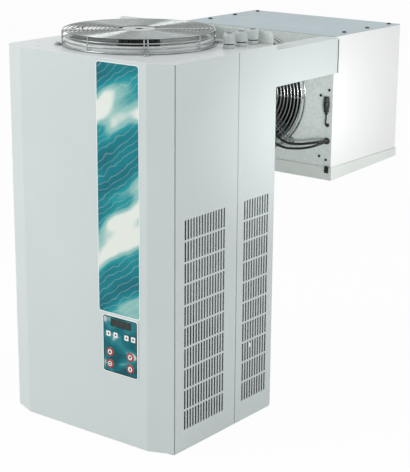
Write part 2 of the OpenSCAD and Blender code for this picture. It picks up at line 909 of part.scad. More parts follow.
module compressor() placed() color(black) translate([shell_x, shell_y, shell_z]) {
    // Domed shell with the welded seam round its middle
    dome_r = (shell_r * shell_r + dome_h * dome_h) / (2 * dome_h);
    intersection() {
        cylinder(r = shell_r, h = shell_h);
        translate([0, 0, shell_h - dome_r]) sphere(dome_r);
    }
    translate([0, 0, shell_h / 2]) cylinder(r = shell_r + shell_seam, h = shell_seam);
    // Foot plate with a hole for each rubber foot
    difference() {
        translate([-foot_span / 2, -foot_span / 2, -foot_plate]) cube([foot_span, foot_span, foot_plate]);
        at_feet() translate([0, 0, -foot_plate - over])
            cylinder(r = screw_r * 2, h = foot_plate + 2 * over);
    }
    // Stubs for the two pipes
    for (x = [-pipe_in, pipe_in]) {
        translate([x, 0, shell_h - dome_h]) cylinder(r = cold_pipe + sheet, h = dome_h + stub_h, $fn = 32);
    }
}

module at_feet() {
    reach = foot_span / 2 - foot_r;
    for (x = [-reach, reach], y = [-reach, reach]) {
        translate([x, y, 0]) children();
    }
}

module compressor_feet() placed() color("#2b2b2b") translate([shell_x, shell_y, tray_t]) at_feet() {
    cylinder(r = foot_r, h = foot_h);
    cylinder(r = screw_r * 2 - fit, h = foot_h + foot_plate + screw_head_h);
}

module terminal_cover() placed() color("#3a3d40") {
    y1 = shell_y - shell_r - fit;
    span(
        [shell_x - terminal_w / 2, y1 - terminal_d, shell_z + shell_seam],
        [shell_x + terminal_w / 2, y1, shell_z + shell_seam + terminal_h]
    );
}

module liquid_receiver() placed() color(black) translate([receiver_x, receiver_y, receiver_z]) {
    cylinder(r = receiver_foot_r, h = foot_plate);
    cylinder(r = receiver_r, h = receiver_h - receiver_r);
    translate([0, 0, receiver_h - receiver_r]) sphere(receiver_r);
    for (y = [-stub_h, stub_h]) {
        translate([0, y, receiver_h - receiver_r])
            cylinder(r = thin_pipe + 2 * sheet, h = receiver_r + stub_h / 2, $fn = 32);
    }
}

module filter_drier() placed() color(copper) translate([drier_x, receiver_y - stub_h, drier_z]) {
    translate([0, 0, drier_r]) cylinder(r = drier_r, h = drier_l - 2 * drier_r);
    translate([0, 0, drier_r]) sphere(drier_r);
    translate([0, 0, drier_l - drier_r]) sphere(drier_r);
    cylinder(r = thin_pipe + sheet, h = drier_l, $fn = 32);
}

// Pressure switch on the discharge pipe
module pressure_switch() placed() color("#3a3d40") {
    translate([hot_x, shell_y, (hot_run_z + cold_run_z) / 2]) difference() {
        translate([-switch_r - hot_pipe - fit, 0, 0]) cylinder(r = switch_r, h = switch_h);
        translate([0, 0, -over]) cylinder(r = hot_pipe + fit, h = switch_h + 2 * over, $fn = 32);
    }
}

module discharge_pipe() placed() color(copper) pipe_run([
    [hot_x, shell_y, hot_start_z], [hot_x, shell_y, hot_run_z], [riser_x, shell_y, hot_run_z],
    [riser_x, shell_y, coil_z + coil_h - tube_pitch / 2],
    [coil_end_x, shell_y, coil_z + coil_h - tube_pitch / 2]
], hot_pipe, thin_bend);

module condensate_pipe() placed() color(copper) {
    y = receiver_y + stub_h;
    pipe_run([
        [coil_end_x, y, coil_z + tube_pitch / 2], [riser_x, y, coil_z + tube_pitch / 2],
        [riser_x, y, receiver_run_z], [receiver_x, y, receiver_run_z],
        [receiver_x, y, receiver_top]
    ], thin_pipe, thin_bend);
}

module receiver_pipe() placed() color(copper) {
    y = receiver_y - stub_h;
    pipe_run([
        [receiver_x, y, receiver_top], [receiver_x, y, receiver_run_z],
        [drier_x, y, receiver_run_z], [drier_x, y, drier_z]
    ], thin_pipe, thin_bend);
}

module liquid_pipe() placed() color(copper) {
    y = receiver_y - stub_h;
    pipe_run([
        [drier_x, y, drier_z + drier_l], [drier_x, y, liquid_run_z], [liquid_x, y, liquid_run_z],
        [liquid_x, back_run_y, liquid_run_z], [liquid_x, back_run_y, crossing_z],
        [liquid_x, evap_coil_y - 2 * cold_bend, crossing_z],
        [evap_riser_x, evap_coil_y - 2 * cold_bend, crossing_z],
        [evap_riser_x, evap_coil_y + evap_coil_d / 2, crossing_z],
        [evap_pipe_x, evap_coil_y + evap_coil_d / 2, crossing_z]
    ], thin_pipe, thin_bend / 2 + thin_pipe);
}

module suction_pipe() placed() color("#2a2c2e") {
    y = evap_coil_y + evap_coil_d - tube_pitch / 2;
    turn_y = evap_y + evap_coil_d;
    pipe_run([
        [evap_pipe_x, y, suction_out_z], [evap_riser_x, y, suction_out_z],
        [evap_riser_x, y, suction_run_z], [evap_riser_x, turn_y, suction_run_z],
        [evap_riser_x, turn_y, crossing_z], [suction_x, turn_y, crossing_z],
        [suction_x, back_run_y, crossing_z], [suction_x, back_run_y, cold_run_z],
        [cold_x, back_run_y, cold_run_z], [cold_x, shell_y, cold_run_z],
        [cold_x, shell_y, hot_start_z]
    ], cold_pipe, cold_pipe + fit);
}

module electrical_box() placed() color("#8f979a") {
    x1 = half_w - sheet - fit;
    y0 = corner_d + seam + sheet + fit;
    difference() {
        span([x1 - box_w, y0, box_z], [x1, y0 + box_d, box_z + box_h]);
        span(
            [x1 - box_w + box_wall, y0 + box_wall, box_z + box_wall],
            [x1 - box_wall, y0 + box_d - box_wall, box_z + box_h - box_wall]
        );
    }
}

// Front: artwork strip, control panel and keys

module artwork_strip() placed() color(teal) {
    z = under_top - strip_drop - strip_h / 2;
    upright_plate(strip_x, -strip_t, z, strip_w, strip_h, strip_t, strip_corner_r);
}

function key_place(i) = [
    panel_x + (i % 2 == 0 ? -1 : 1) * key_pitch_x / 2, key_low_z + (i < 2 ? key_pitch_z : 0)
];

module control_frame() placed() color(teal) difference() {
    upright_plate(panel_x, -frame_t, panel_z + panel_h / 2, panel_w, panel_h, frame_t, panel_corner_r);
    for (i = [0 : 3]) {
        along_y(key_place(i)[0], -frame_t - over, key_place(i)[1], key_r + key_gap, frame_t + 2 * over);
    }
    for (share = lamp_shares) {
        along_y(panel_x + share * panel_w, -frame_t - over, lamp_z, lamp_r + fit / 2, frame_t + 2 * over);
    }
    z = display_z + display_h / 2;
    upright_plate(display_x, -frame_t - over, z, display_w, display_h, frame_t + 2 * over, fit);
}

module control_board() placed() color("#2d5a46") {
    x = panel_x;
    z = panel_z + panel_h / 2;
    span(
        [x - board_w / 2, board_y, z - board_h / 2],
        [x + board_w / 2, board_y + board_d, z + board_h / 2]
    );
    // Pillars that hold the board behind the frame
    reach_x = board_w / 2 - screw_r - fit;
    reach_z = board_h / 2 - screw_r - fit;
    for (px = [x - reach_x, x + reach_x], pz = [z - reach_z, z + reach_z]) {
        along_y(px, 0, pz, screw_r, board_y);
    }
}

module display_window() placed() color("#101a17") {
    z = display_z + display_h / 2;
    w = display_w - 2 * fit;
    h = display_h - 2 * fit;
    upright_plate(display_x, window_t - frame_t, z, w, h, frame_t - window_t, fit);
    upright_plate(display_x, 0, z, display_w + 2 * window_lip, display_h + 2 * window_lip, window_t, fit);
}

module indicator_windows() placed() color("#6e2f2a") for (share = lamp_shares) {
    x = panel_x + share * panel_w;
    along_y(x, -frame_t, lamp_z, lamp_r, frame_t);
    along_y(x, 0, lamp_z, lamp_r + window_lip, window_t);
}

// A key: round cap through the frame, a rim that keeps it in and a stem to the switch behind
module key(i) placed() color("#f1f1ee") {
    x = key_place(i)[0];
    z = key_place(i)[1];
    along_y(x, -frame_t - key_proud, z, key_r, frame_t + key_proud + fit);
    along_y(x, fit, z, key_r + key_rim, key_rim_t);
    along_y(x, fit, z, key_stem_r, board_y - key_travel - 2 * fit);
}

module key_1() key(0);
module key_2() key(1);
module key_3() key(2);
module key_4() key(3);

// A cable gland: hexagon body, seal, domed cap nut and the threaded end with its lock nut
module gland(i) placed() color("#b9c0bf") on_top_at(gland_x, gland_y + i * gland_pitch) difference() {
    cap_z = gland_hex_h + gland_seal_h;
    union() {
        cylinder(r = gland_hex_r, h = gland_hex_h, $fn = 6);
        translate([0, 0, gland_hex_h]) cylinder(r = gland_r - gland_seal_h, h = gland_seal_h);
        translate([0, 0, cap_z]) cylinder(r = gland_r, h = gland_cap_h);
        translate([0, 0, cap_z + gland_cap_h]) intersection() {
            cylinder(r = gland_r, h = gland_h - cap_z - gland_cap_h);
            translate([0, 0, -gland_r / 2]) sphere(gland_r * 1.12);
        }
        translate([0, 0, -sheet - gland_nut_h - over])
            cylinder(r = gland_thread_r, h = sheet + gland_nut_h + 2 * over);
        translate([0, 0, -sheet - gland_nut_h]) cylinder(r = gland_hex_r, h = gland_nut_h, $fn = 6);
    }
    translate([0, 0, -sheet - gland_nut_h - 2 * over])
        cylinder(r = gland_bore_r, h = gland_h + sheet + gland_nut_h + 3 * over);
}

module cable_gland_1() gland(0);
module cable_gland_2() gland(1);
module cable_gland_3() gland(2);

// Bridge

// Insulated floor between the cheeks, notched at its end to clear the evaporator's fan guard
module bridge_floor() placed() color("#c3cbc9") difference() {
    notch_half = evap_guard_r + leg_wire + fit;
    span([sheet - half_w, body_d, bridge_z], [half_w - sheet, bridge_end - bridge_joint, trough_z]);
    span(
        [-notch_half, evap_y - evap_guard_h - 2 * fit, bridge_z - over],
        [notch_half, evap_y, trough_z + over]
    );
}

module cheek_insulation() placed() color("#d9d6c3") for (side = [0, 1]) mirror([side, 0, 0])
    span(
        [trough_half + sheet, body_d, trough_z],
        [half_w - sheet, bridge_end - bridge_joint - sheet, bridge_top - sheet]
    );

module trough_wall() {
    y1 = bridge_end - bridge_joint - sheet;
    span([trough_half, body_d, trough_z], [trough_half + sheet, y1, bridge_top - sheet]);
    span([trough_half - flange, body_d, trough_z], [trough_half, y1, trough_z + sheet]);
}

module right_trough_wall() placed() color(galvanised) trough_wall();

module left_trough_wall() placed() color(galvanised) mirrored() trough_wall();

// Evaporator

module evaporator_front_wall() placed() color(galvanised) difference() {
    wide = evap_half - sheet;
    union() {
        span([-wide, evap_y, evap_z], [wide, evap_y + sheet, evap_top - sheet]);
        span([-wide, evap_y, evap_top - 2 * sheet], [wide, evap_y + evap_flange, evap_top - sheet]);
        for (side = [0, 1]) mirror([side, 0, 0]) {
            span([wide - sheet, evap_y, evap_z], [wide, evap_y + evap_flange, evap_top - sheet]);
        }
    }
    on_wall() translate([0, 0, -sheet - over])
        cylinder(r = evap_throat_r + ring_wall + fit, h = sheet + 2 * over, $fn = 96);
    along_y(liquid_x, evap_y - over, crossing_z, thin_pipe + fit, sheet + 2 * over);
    along_y(suction_x, evap_y - over, crossing_z, cold_pipe + fit, sheet + 2 * over);
    along_y(cable_x, evap_y - over, cable_z, grommet_r - sheet, sheet + 2 * over);
    along_y(cable_x, evap_y - over, loop_end_z, loop_r + sheet, sheet + 2 * over);
    // Fixing holes beside the gland and near the tray
    for (z = [probe_z + probe_l, evap_z + grommet_r * 3]) {
        along_y(cable_x - grommet_r * 2.6, evap_y - over, z, wall_hole_r, sheet + 2 * over);
    }
}

module evaporator_side() difference() {
    union() {
        span([evap_half - sheet, evap_y, evap_z], [evap_half, evap_end, evap_top - sheet]);
        // Top flange under the lid and the lip beside the outlet
        span(
            [evap_half - 2 * lid_screw_in, evap_y + evap_flange + fit, evap_top - 2 * sheet],
            [evap_half, evap_end - sheet - fit, evap_top - sheet]
        );
        span([evap_half - outlet_lip, evap_end - sheet, evap_z], [evap_half, evap_end, evap_top - sheet]);
        // Lower flange that the drain tray hangs from
        span(
            [evap_half - evap_flange, evap_y + evap_flange + fit, evap_z],
            [evap_half, evap_end, evap_z + sheet]
        );
    }
    for (share = lid_screw_shares) {
        translate([evap_half - lid_screw_in, evap_y + share * evap_d, evap_top - 3 * sheet])
            cylinder(r = screw_r + fit / 2, h = 3 * sheet, $fn = 24);
    }
}

module evaporator_right_side() placed() color("#f2f2f0") evaporator_side();

module evaporator_left_side() placed() color("#f2f2f0") mirrored() evaporator_side();

module evaporator_lid() placed() color(lid_grey) difference() {
    union() {
        span([-evap_half, evap_y, evap_top - sheet], [evap_half, evap_end, evap_top]);
        // Skirt folded down at the outlet end
        span(
            [outlet_lip - evap_half + fit, evap_end - sheet, evap_top - lid_skirt],
            [evap_half - outlet_lip - fit, evap_end, evap_top]
        );
    }
    for (side = [-1, 1], share = lid_screw_shares) {
        translate([side * (evap_half - lid_screw_in), evap_y + share * evap_d, evap_top - 2 * sheet])
            cylinder(r = screw_r + fit / 2, h = 3 * sheet, $fn = 24);
    }
}

module lid_screws() placed() color("#6f7678") for (side = [-1, 1], share = lid_screw_shares) {
    translate([side * (evap_half - lid_screw_in), evap_y + share * evap_d, evap_top]) {
        cylinder(r = screw_head_r, h = screw_head_h, $fn = 32);
        translate([0, 0, -3 * sheet]) cylinder(r = screw_r, h = 3 * sheet, $fn = 24);
    }
}

// The evaporator coil stands on edge, with its fins upright and open to the outlet
module evaporator_coil() placed() color("#c4c8c8") {
    translate([-evap_coil_w / 2, evap_coil_y + evap_coil_d, evap_coil_z]) rotate([90, 0, 0])
        coil(evap_coil_w, evap_coil_h, evap_coil_d, 4);
    // Feet of the end plates on the drain tray's bearers and the blanking plates beside the coil
    for (side = [0, 1]) mirror([side, 0, 0]) {
        span(
            [evap_coil_w / 2 + plate_gap, evap_end - 2 * sheet - evap_coil_back, evap_coil_z],
            [evap_half - sheet - fit, evap_end - sheet - evap_coil_back, evap_coil_z + evap_coil_h]
        );
    }
}

module evaporator_fan_ring() placed() color(galvanised) on_wall() {
    difference() {
        translate([0, 0, -ring_l]) cylinder(r = evap_throat_r + ring_wall, h = ring_l + sheet, $fn = 96);
        translate([0, 0, -ring_l - over])
            cylinder(r = evap_throat_r, h = ring_l + 2 * over + sheet, $fn = 96);
    }
    translate([0, 0, fit / 3]) difference() {
        cylinder(r = evap_throat_r + ring_flange, h = ring_wall, $fn = 96);
        translate([0, 0, -over]) cylinder(r = evap_throat_r, h = ring_wall + 2 * over, $fn = 96);
    }
}

module evaporator_fan_guard() placed() color(wire_grey) on_wall()
    wire_guard(evap_guard_r, evap_guard_h, evap_guard_pitch, 0);

module evaporator_motor() placed() color(black) on_wall()
    translate([0, 0, evap_motor_z]) fan_motor(evap_motor_l);

module evaporator_fan() placed() color("#8d9495") on_wall()
    translate([0, 0, evap_motor_z - hub_l - hub_gap]) impeller(evap_fan_r);

// The drain tray hangs under the casing and falls towards the wall side, where the spigot stands
// on a round foot
module tray_solid(inset, drop) {
    wide = evap_half + tray_lip - inset;
    y0 = evap_y - tray_lip + inset;
    y1 = evap_end + tray_lip - inset;
    translate([-wide, 0, 0]) rotate([90, 0, 90]) linear_extrude(2 * wide) polygon([
        [y0, evap_z - tray_deep + inset], [y1, evap_z - tray_shallow + inset],
        [y1, evap_z + drop], [y0, evap_z + drop]
    ]);
}

module drain_tray() placed() color("#b4bbb8") difference() {
    union() {
        difference() {
            tray_solid(0, 0);
            tray_solid(tray_t, over);
        }
        translate([spigot_x, evap_y + spigot_back, evap_z - tray_deep - spigot_l])
            cylinder(r = spigot_r, h = spigot_l);
        translate([spigot_x, evap_y + spigot_back, evap_z - tray_deep - spigot_root])
            cylinder(r = spigot_root_r, h = spigot_root + tray_t + fit / 2);
    }
    translate([spigot_x, evap_y + spigot_back, evap_z - tray_deep - spigot_l - over])
        cylinder(r = spigot_bore_r, h = spigot_l + 4 * tray_t);
}

// Spring clips that hold the tray's corners to the wall
module tray_clips() placed() color(black) for (side = [-1, 1]) {
    x = side * (evap_half - clip_w);
    span(
        [x - clip_w / 2, evap_y - tray_lip - clip_t, evap_z - clip_drop],
        [x + clip_w / 2, evap_y - tray_lip, evap_z + clip_t]
    );
    span(
        [x - clip_w / 2, evap_y - tray_lip - clip_t, evap_z + fit],
        [x + clip_w / 2, evap_y, evap_z + clip_t]
    );
    head_y = evap_y - tray_lip - clip_t - screw_head_h;
    along_y(x, head_y, evap_z - clip_drop / 2, screw_head_r * 0.8, screw_head_h);
}

// Black gland on the wall, with the probe's lead looping down from it into its own hole
module probe_gland() placed() color(black) {
    y = evap_y - probe_collar_r;
    translate([cable_x, y, probe_z]) cylinder(r = probe_r, h = probe_l);
    translate([cable_x, y, probe_z + probe_l / 3])
        cylinder(r = probe_collar_r - fit, h = probe_l / 3, $fn = 8);
    translate([cable_x, y, probe_z - probe_r]) cylinder(r = probe_r * 0.6, h = probe_r);
    span(
        [cable_x - probe_r / 2, y, probe_z + probe_l * 0.7],
        [cable_x + probe_r / 2, evap_y, probe_z + probe_l * 0.9]
    );
    along_y(cable_x, evap_y - 2 * loop_r, loop_end_z, loop_r + 2 * sheet, 2 * loop_r);
}

module probe_loop() placed() color("#4a4e50") {
    y = evap_y - probe_collar_r;
    high = probe_z - probe_r - fit;
    drop = high - loop_end_z;
    end_y = evap_y - 2 * loop_r - 2 * fit;
    cable(curve([
        [cable_x, y, high], [cable_x, y, high - drop * 0.3],
        [cable_x, y - loop_r, high - drop * 0.7], [cable_x, y - loop_r / 2, loop_end_z + drop * 0.08],
        [cable_x, end_y - loop_r, loop_end_z], [cable_x, end_y, loop_end_z]
    ], 4), loop_r, 8, [1, 0, 0]);
}

module cable_grommet() placed() color(black) {
    along_y(cable_x, evap_y - grommet_h, cable_z, grommet_r, grommet_h);
    along_y(cable_x, evap_y - sheet, cable_z, grommet_r - sheet - fit, 3 * sheet);
}

// Routes of the two fan cables: out of the grommet, down along the wall, in front of the guard and
// up beside the motor; chosen by hand, in millimetres from the grommet's mouth
upper_cable_route = [
    [3, -0.3, 2.5], [3, -9, 2.5], [1.2, -15, 2.2], [-3, -19.4, 1.4], [-9, -21, 0], [-26, -21, -4],
    [-52, -21, -9], [-80, -21, -10], [-103, -21, -1], [-117, -21, 21]
];
lower_cable_route = [
    [-3, -0.3, -3], [-3, -6, -3], [-4.5, -12, -3.8], [-8.5, -17, -5.5], [-15, -20.4, -8.5],
    [-32, -21, -14], [-56, -21, -19], [-88, -21, -21], [-114, -21, -13], [-128, -21, 8]
];

// A place away from where a cable meets the motor's face, between the guard's plate and its
// innermost ring: so far back down the cable's slope, and so far out from the face
function motor_entry(angle, back, out) =
    let (r = (plate_r + motor_r) / 2)
    [
        r * cos(angle) + back * cos(cable_slope),
        evap_y - evap_guard_h + ring_wire + plate_t - out,
        fan_z + r * sin(angle) - back * sin(cable_slope)
    ];

module fan_cable(route, angle) {
    mouth = [cable_x, evap_y - grommet_h, cable_z];
    points = concat(
        [for (p = route) mouth + p],
        [
            motor_entry(angle, cable_lead * cable_turn, cable_out),
            for (a = [0 : 30 : 90])
                motor_entry(angle, (1 - sin(a)) * cable_turn, cable_out - (1 - cos(a)) * cable_turn),
            motor_entry(angle, 0, fit)
        ]
    );
    cable(curve(points, 4), cable_r, 8, [1, 0, 0]);
}

module fan_cables() placed() color(black) {
    fan_cable(upper_cable_route, upper_cable_angle);
    fan_cable(lower_cable_route, lower_cable_angle);
}

base_tray();
front_panel();
right_side_panel();
left_side_panel();
right_rear_panel();
left_rear_panel();
back_panel();
top_panel();
fan_collar();
condenser_fan_guard();
guard_screws();
condenser_motor();
condenser_fan();
condenser_shroud();
condenser_coil();
compressor();
compressor_feet();
terminal_cover();
liquid_receiver();
filter_drier();
pressure_switch();
discharge_pipe();
condensate_pipe();
receiver_pipe();
liquid_pipe();
suction_pipe();
electrical_box();
artwork_strip();
control_frame();
control_board();
display_window();
indicator_windows();
key_1();
key_2();
key_3();
key_4();
cable_gland_1();
cable_gland_2();
cable_gland_3();
bridge_floor();
cheek_insulation();
right_trough_wall();
left_trough_wall();
evaporator_front_wall();
evaporator_right_side();
evaporator_left_side();
evaporator_lid();
lid_screws();
evaporator_coil();
evaporator_fan_ring();
evaporator_fan_guard();
evaporator_motor();
evaporator_fan();
drain_tray();
tray_clips();
probe_gland();
probe_loop();
cable_grommet();
fan_cables();
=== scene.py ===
"""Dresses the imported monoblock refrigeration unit: finishes, small parts, floor, light and camera."""
import math

import bmesh
import bpy
import numpy as np
from mathutils import Matrix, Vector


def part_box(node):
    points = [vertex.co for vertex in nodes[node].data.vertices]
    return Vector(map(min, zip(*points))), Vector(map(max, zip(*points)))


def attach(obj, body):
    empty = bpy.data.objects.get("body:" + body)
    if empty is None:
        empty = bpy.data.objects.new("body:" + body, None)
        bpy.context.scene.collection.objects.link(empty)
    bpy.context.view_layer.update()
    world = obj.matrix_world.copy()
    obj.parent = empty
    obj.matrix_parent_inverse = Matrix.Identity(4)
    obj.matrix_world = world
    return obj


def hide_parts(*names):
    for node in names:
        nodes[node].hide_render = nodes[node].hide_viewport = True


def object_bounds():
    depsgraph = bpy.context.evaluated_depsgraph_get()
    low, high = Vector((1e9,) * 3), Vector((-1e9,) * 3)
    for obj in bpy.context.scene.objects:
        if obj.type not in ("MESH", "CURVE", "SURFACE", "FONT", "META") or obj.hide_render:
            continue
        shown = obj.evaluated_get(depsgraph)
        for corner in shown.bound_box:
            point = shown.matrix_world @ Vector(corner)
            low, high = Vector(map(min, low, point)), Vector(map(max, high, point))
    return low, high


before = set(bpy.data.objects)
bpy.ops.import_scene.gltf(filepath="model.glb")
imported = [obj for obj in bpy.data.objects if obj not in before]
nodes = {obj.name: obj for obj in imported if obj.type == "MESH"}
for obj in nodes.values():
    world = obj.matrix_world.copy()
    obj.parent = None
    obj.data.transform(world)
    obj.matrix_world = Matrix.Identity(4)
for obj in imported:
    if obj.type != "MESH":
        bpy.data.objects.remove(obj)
cad_low, cad_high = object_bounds()

MM = 0.001
STRIP_CORNER = 7 * MM
STRIP_RIM = 1.6 * MM
PANEL_CORNER = 6 * MM
PANEL_RIM = 1.8 * MM
PANEL_BORDER = 3.6 * MM

# The front face's place along Y, from which part.scad's own places are counted
FRONT_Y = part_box("front_panel")[0][1]


# Colour and node helpers

def linear(colour):
    """An sRGB hex colour as linear red, green, blue and alpha."""
    parts = [int(colour[i:i + 2], 16) / 255 for i in (1, 3, 5)]
    return [c / 12.92 if c <= 0.04045 else ((c + 0.055) / 1.055) ** 2.4 for c in parts] + [1.0]


def add(tree, kind, inputs=None, **settings):
    """One shader node with its settings; each input is a value or another node's output."""
    made = tree.nodes.new("ShaderNode" + kind)
    for key, value in settings.items():
        setattr(made, key, value)
    for key, value in (inputs or {}).items():
        socket = made.inputs[key]
        if isinstance(value, bpy.types.NodeSocket):
            tree.links.new(value, socket)
        else:
            socket.default_value = value
    return made


def ramp(tree, factor, stops):
    """A colour ramp whose stops are places and sRGB hex colours, eased between them."""
    made = add(tree, "ValToRGB", {"Fac": factor})
    made.color_ramp.interpolation = "EASE"
    points = made.color_ramp.elements
    while len(points) < len(stops):
        points.new(0.5)
    for point, (place, colour) in zip(points, stops):
        point.position = place
        point.color = linear(colour)
    return made.outputs["Color"]


def math_node(tree, operation, *values, clamp=False):
    """The result of one sum on values or other nodes' outputs."""
    made = add(tree, "Math", dict(enumerate(values)), operation=operation, use_clamp=clamp)
    return made.outputs[0]


def mixed(tree, factor, first, second):
    """The first colour, or the second where the factor is one."""
    made = add(tree, "Mix", {0: factor, 6: first, 7: second}, data_type="RGBA")
    return made.outputs[2]


def axis_of(tree, place, axis):
    """One axis of a place or a normal."""
    return add(tree, "SeparateXYZ", {"Vector": place}).outputs[axis]


def started(name, roughness, metallic=0.0, **sockets):
    """A new material, its tree, its Principled shader and the object coordinates."""
    made = bpy.data.materials.new(name)
    made.use_nodes = True
    tree = made.node_tree
    shader = tree.nodes["Principled BSDF"]
    shader.inputs["Roughness"].default_value = roughness
    shader.inputs["Metallic"].default_value = metallic
    for key, value in sockets.items():
        shader.inputs[key.replace("_", " ")].default_value = value
    coordinates = add(tree, "TexCoord").outputs["Object"]
    return made, tree, shader, coordinates


def noise(tree, place, size, detail, roughness=0.5, distortion=0.0):
    """Noise whose blotches measure about size metres across."""
    made = add(tree, "TexNoise", {
        "Vector": place, "Scale": 1 / size, "Detail": detail, "Roughness": roughness,
        "Distortion": distortion,
    })
    return made.outputs["Fac"]


def stretched(tree, place, x, y, z):
    """Object coordinates with each axis taken times its own factor."""
    return add(tree, "Mapping", {"Vector": place, "Scale": (x, y, z)}).outputs["Vector"]


def bump(tree, shader, height, distance, strength, rounding=0.0):
    """Raises the surface by height; rounding softens sharp edges as a press brake does."""
    inputs = {"Height": height, "Distance": distance, "Strength": strength}
    if rounding:
        inputs["Normal"] = add(tree, "Bevel", {"Radius": rounding}, samples=4).outputs["Normal"]
    made = add(tree, "Bump", inputs)
    tree.links.new(made.outputs["Normal"], shader.inputs["Normal"])


def tinted(tree, shader, colour_a, colour_b, factor):
    """Base colour that drifts between two close tones."""
    colour = mixed(tree, factor, linear(colour_a), linear(colour_b))
    tree.links.new(colour, shader.inputs["Base Color"])
    return colour


# Finishes

def powder_coat(name, light, dark, roughness, primer_and_shade=None):
    """Baked polyester powder coat on folded sheet: even satin with a fine orange peel, drawn coarser
    than the real 1 mm so that it shows, and a faint waviness of the sheet under it. With a primer
    colour, side faces that look towards the unit's middle take it: a primer tone darkened to near
    black as painted shade, so that what shows through the louvres is dark."""
    made, tree, shader, place = started(name, roughness, Coat_Weight=0.12, Coat_Roughness=0.3)
    coat = tinted(tree, shader, light, dark, noise(tree, place, 160 * MM, 3.0))
    if primer_and_shade:
        # Faces turned towards the unit's middle get painted shade: a near-black primer tone.
        facing = axis_of(tree, add(tree, "NewGeometry").outputs["Normal"], "X")
        side = math_node(tree, "SIGN", axis_of(tree, place, "X"))
        inner = math_node(tree, "LESS_THAN", math_node(tree, "MULTIPLY", facing, side), -0.5)
        tree.links.new(mixed(tree, inner, coat, linear(primer_and_shade)), shader.inputs["Base Color"])
    peel = noise(tree, place, 3 * MM, 1.0)
    sheet = noise(tree, place, 130 * MM, 1.0)
    height = math_node(tree, "MULTIPLY_ADD", sheet, 14.0, peel)
    bump(tree, shader, height, 0.04 * MM, 0.5, rounding=0.9 * MM)
    return made


def galvanised(name, light, dark, cell):
    """Hot-dip galvanised sheet: zinc crystals, each with its own tone, under a dull grey bloom."""
    made, tree, shader, place = started(name, 0.42, 0.15)
    warped = add(tree, "Mix", {
        0: 0.12, 4: place,
        5: add(tree, "TexNoise", {"Vector": place, "Scale": 1 / (2 * cell)}).outputs["Color"],
    }, data_type="VECTOR").outputs[1]
    crystals = add(tree, "TexVoronoi", {"Vector": warped, "Scale": 1 / cell}).outputs["Color"]
    tone = axis_of(tree, crystals, "X")
    bloom = math_node(tree, "MULTIPLY", noise(tree, warped, 60 * MM, 3.0), 0.5)
    factor = math_node(tree, "ADD", math_node(tree, "MULTIPLY", tone, 0.55), bloom)
    tinted(tree, shader, light, dark, factor)
    rough = math_node(tree, "MULTIPLY_ADD", tone, 0.16, 0.34)
    tree.links.new(rough, shader.inputs["Roughness"])
    bump(tree, shader, tone, 0.03 * MM, 0.35, rounding=0.6 * MM)
    return made


def rolled_sheet(name, light, dark, roughness, metallic, along):
    """Rolled sheet metal: fine lines along the mill's direction, drawn 1 mm apart so that they show."""
    made, tree, shader, place = started(name, roughness, metallic)
    lines = noise(tree, stretched(tree, place, *along), 1 * MM, 3.0, 0.6)
    cloud = math_node(tree, "MULTIPLY", noise(tree, place, 90 * MM, 2.0), 0.5)
    factor = math_node(tree, "ADD", math_node(tree, "MULTIPLY", lines, 0.5), cloud)
    tinted(tree, shader, light, dark, factor)
    rough = math_node(tree, "MULTIPLY_ADD", lines, 0.18, roughness - 0.09)
    tree.links.new(rough, shader.inputs["Roughness"])
    bump(tree, shader, lines, 0.02 * MM, 0.4, rounding=0.6 * MM)
    return made


def bright_metal(name, light, dark, roughness):
    """Bright drawn or plated metal: clean reflections with a slight breath of roughness."""
    made, tree, shader, place = started(name, roughness, 1.0)
    cloud = noise(tree, place, 12 * MM, 2.0)
    tinted(tree, shader, light, dark, cloud)
    rough = math_node(tree, "MULTIPLY_ADD", noise(tree, place, 2 * MM, 2.0), 0.14, roughness - 0.05)
    tree.links.new(rough, shader.inputs["Roughness"])
    bump(tree, shader, cloud, 0.02 * MM, 0.2)
    return made


def enamel(name, light, dark, roughness):
    """Sprayed black enamel on cast and pressed metal: deep, slightly uneven gloss."""
    made, tree, shader, place = started(name, roughness, Coat_Weight=0.4, Coat_Roughness=0.15)
    tinted(tree, shader, light, dark, noise(tree, place, 25 * MM, 3.0))
    bump(tree, shader, noise(tree, place, 2 * MM, 2.0), 0.08 * MM, 0.4, rounding=0.8 * MM)
    return made


def moulded(name, light, dark, roughness, grain, depth, **sockets):
    """Moulded plastic or rubber: the mould's fine spark grain over a slow drift of tone."""
    made, tree, shader, place = started(name, roughness, **sockets)
    tinted(tree, shader, light, dark, noise(tree, place, 20 * MM, 3.0))
    bump(tree, shader, noise(tree, place, grain, 2.0), depth, 0.5, rounding=0.3 * MM)
    return made


def cellular_foam(name, light, dark, cell, depth):
    """Closed-cell foam: a dull skin with small pits, each pit drawn darker towards its floor as painted
    shade.
    """
    made, tree, shader, place = started(name, 0.85)
    cells = add(tree, "TexVoronoi", {"Vector": place, "Scale": 1 / cell}).outputs["Distance"]
    # Darker at each cell's middle, where the bump sits lowest: painted shade in the pits.
    tinted(tree, shader, dark, light, cells)
    bump(tree, shader, cells, depth, 0.7)
    return made


def edge_distance(tree, place, node_name, corner):
    """How far inside a front plate's edge a point lies, in metres: with d the distances from the
    upright and the level edge, corner - |max(corner - d, 0)|, so it stops at the corner's radius."""
    low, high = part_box(node_name)
    short = []
    for axis, i in (("X", 0), ("Z", 2)):
        centre, half = (low[i] + high[i]) / 2, (high[i] - low[i]) / 2
        off = math_node(tree, "ABSOLUTE", math_node(tree, "SUBTRACT", axis_of(tree, place, axis), centre))
        near = math_node(tree, "ADD", math_node(tree, "SUBTRACT", off, half), corner)
        near = math_node(tree, "MAXIMUM", near, 0.0)
        short.append(math_node(tree, "MULTIPLY", near, near))
    return math_node(tree, "SUBTRACT", corner, math_node(tree, "SQRT", math_node(tree, "ADD", *short)))


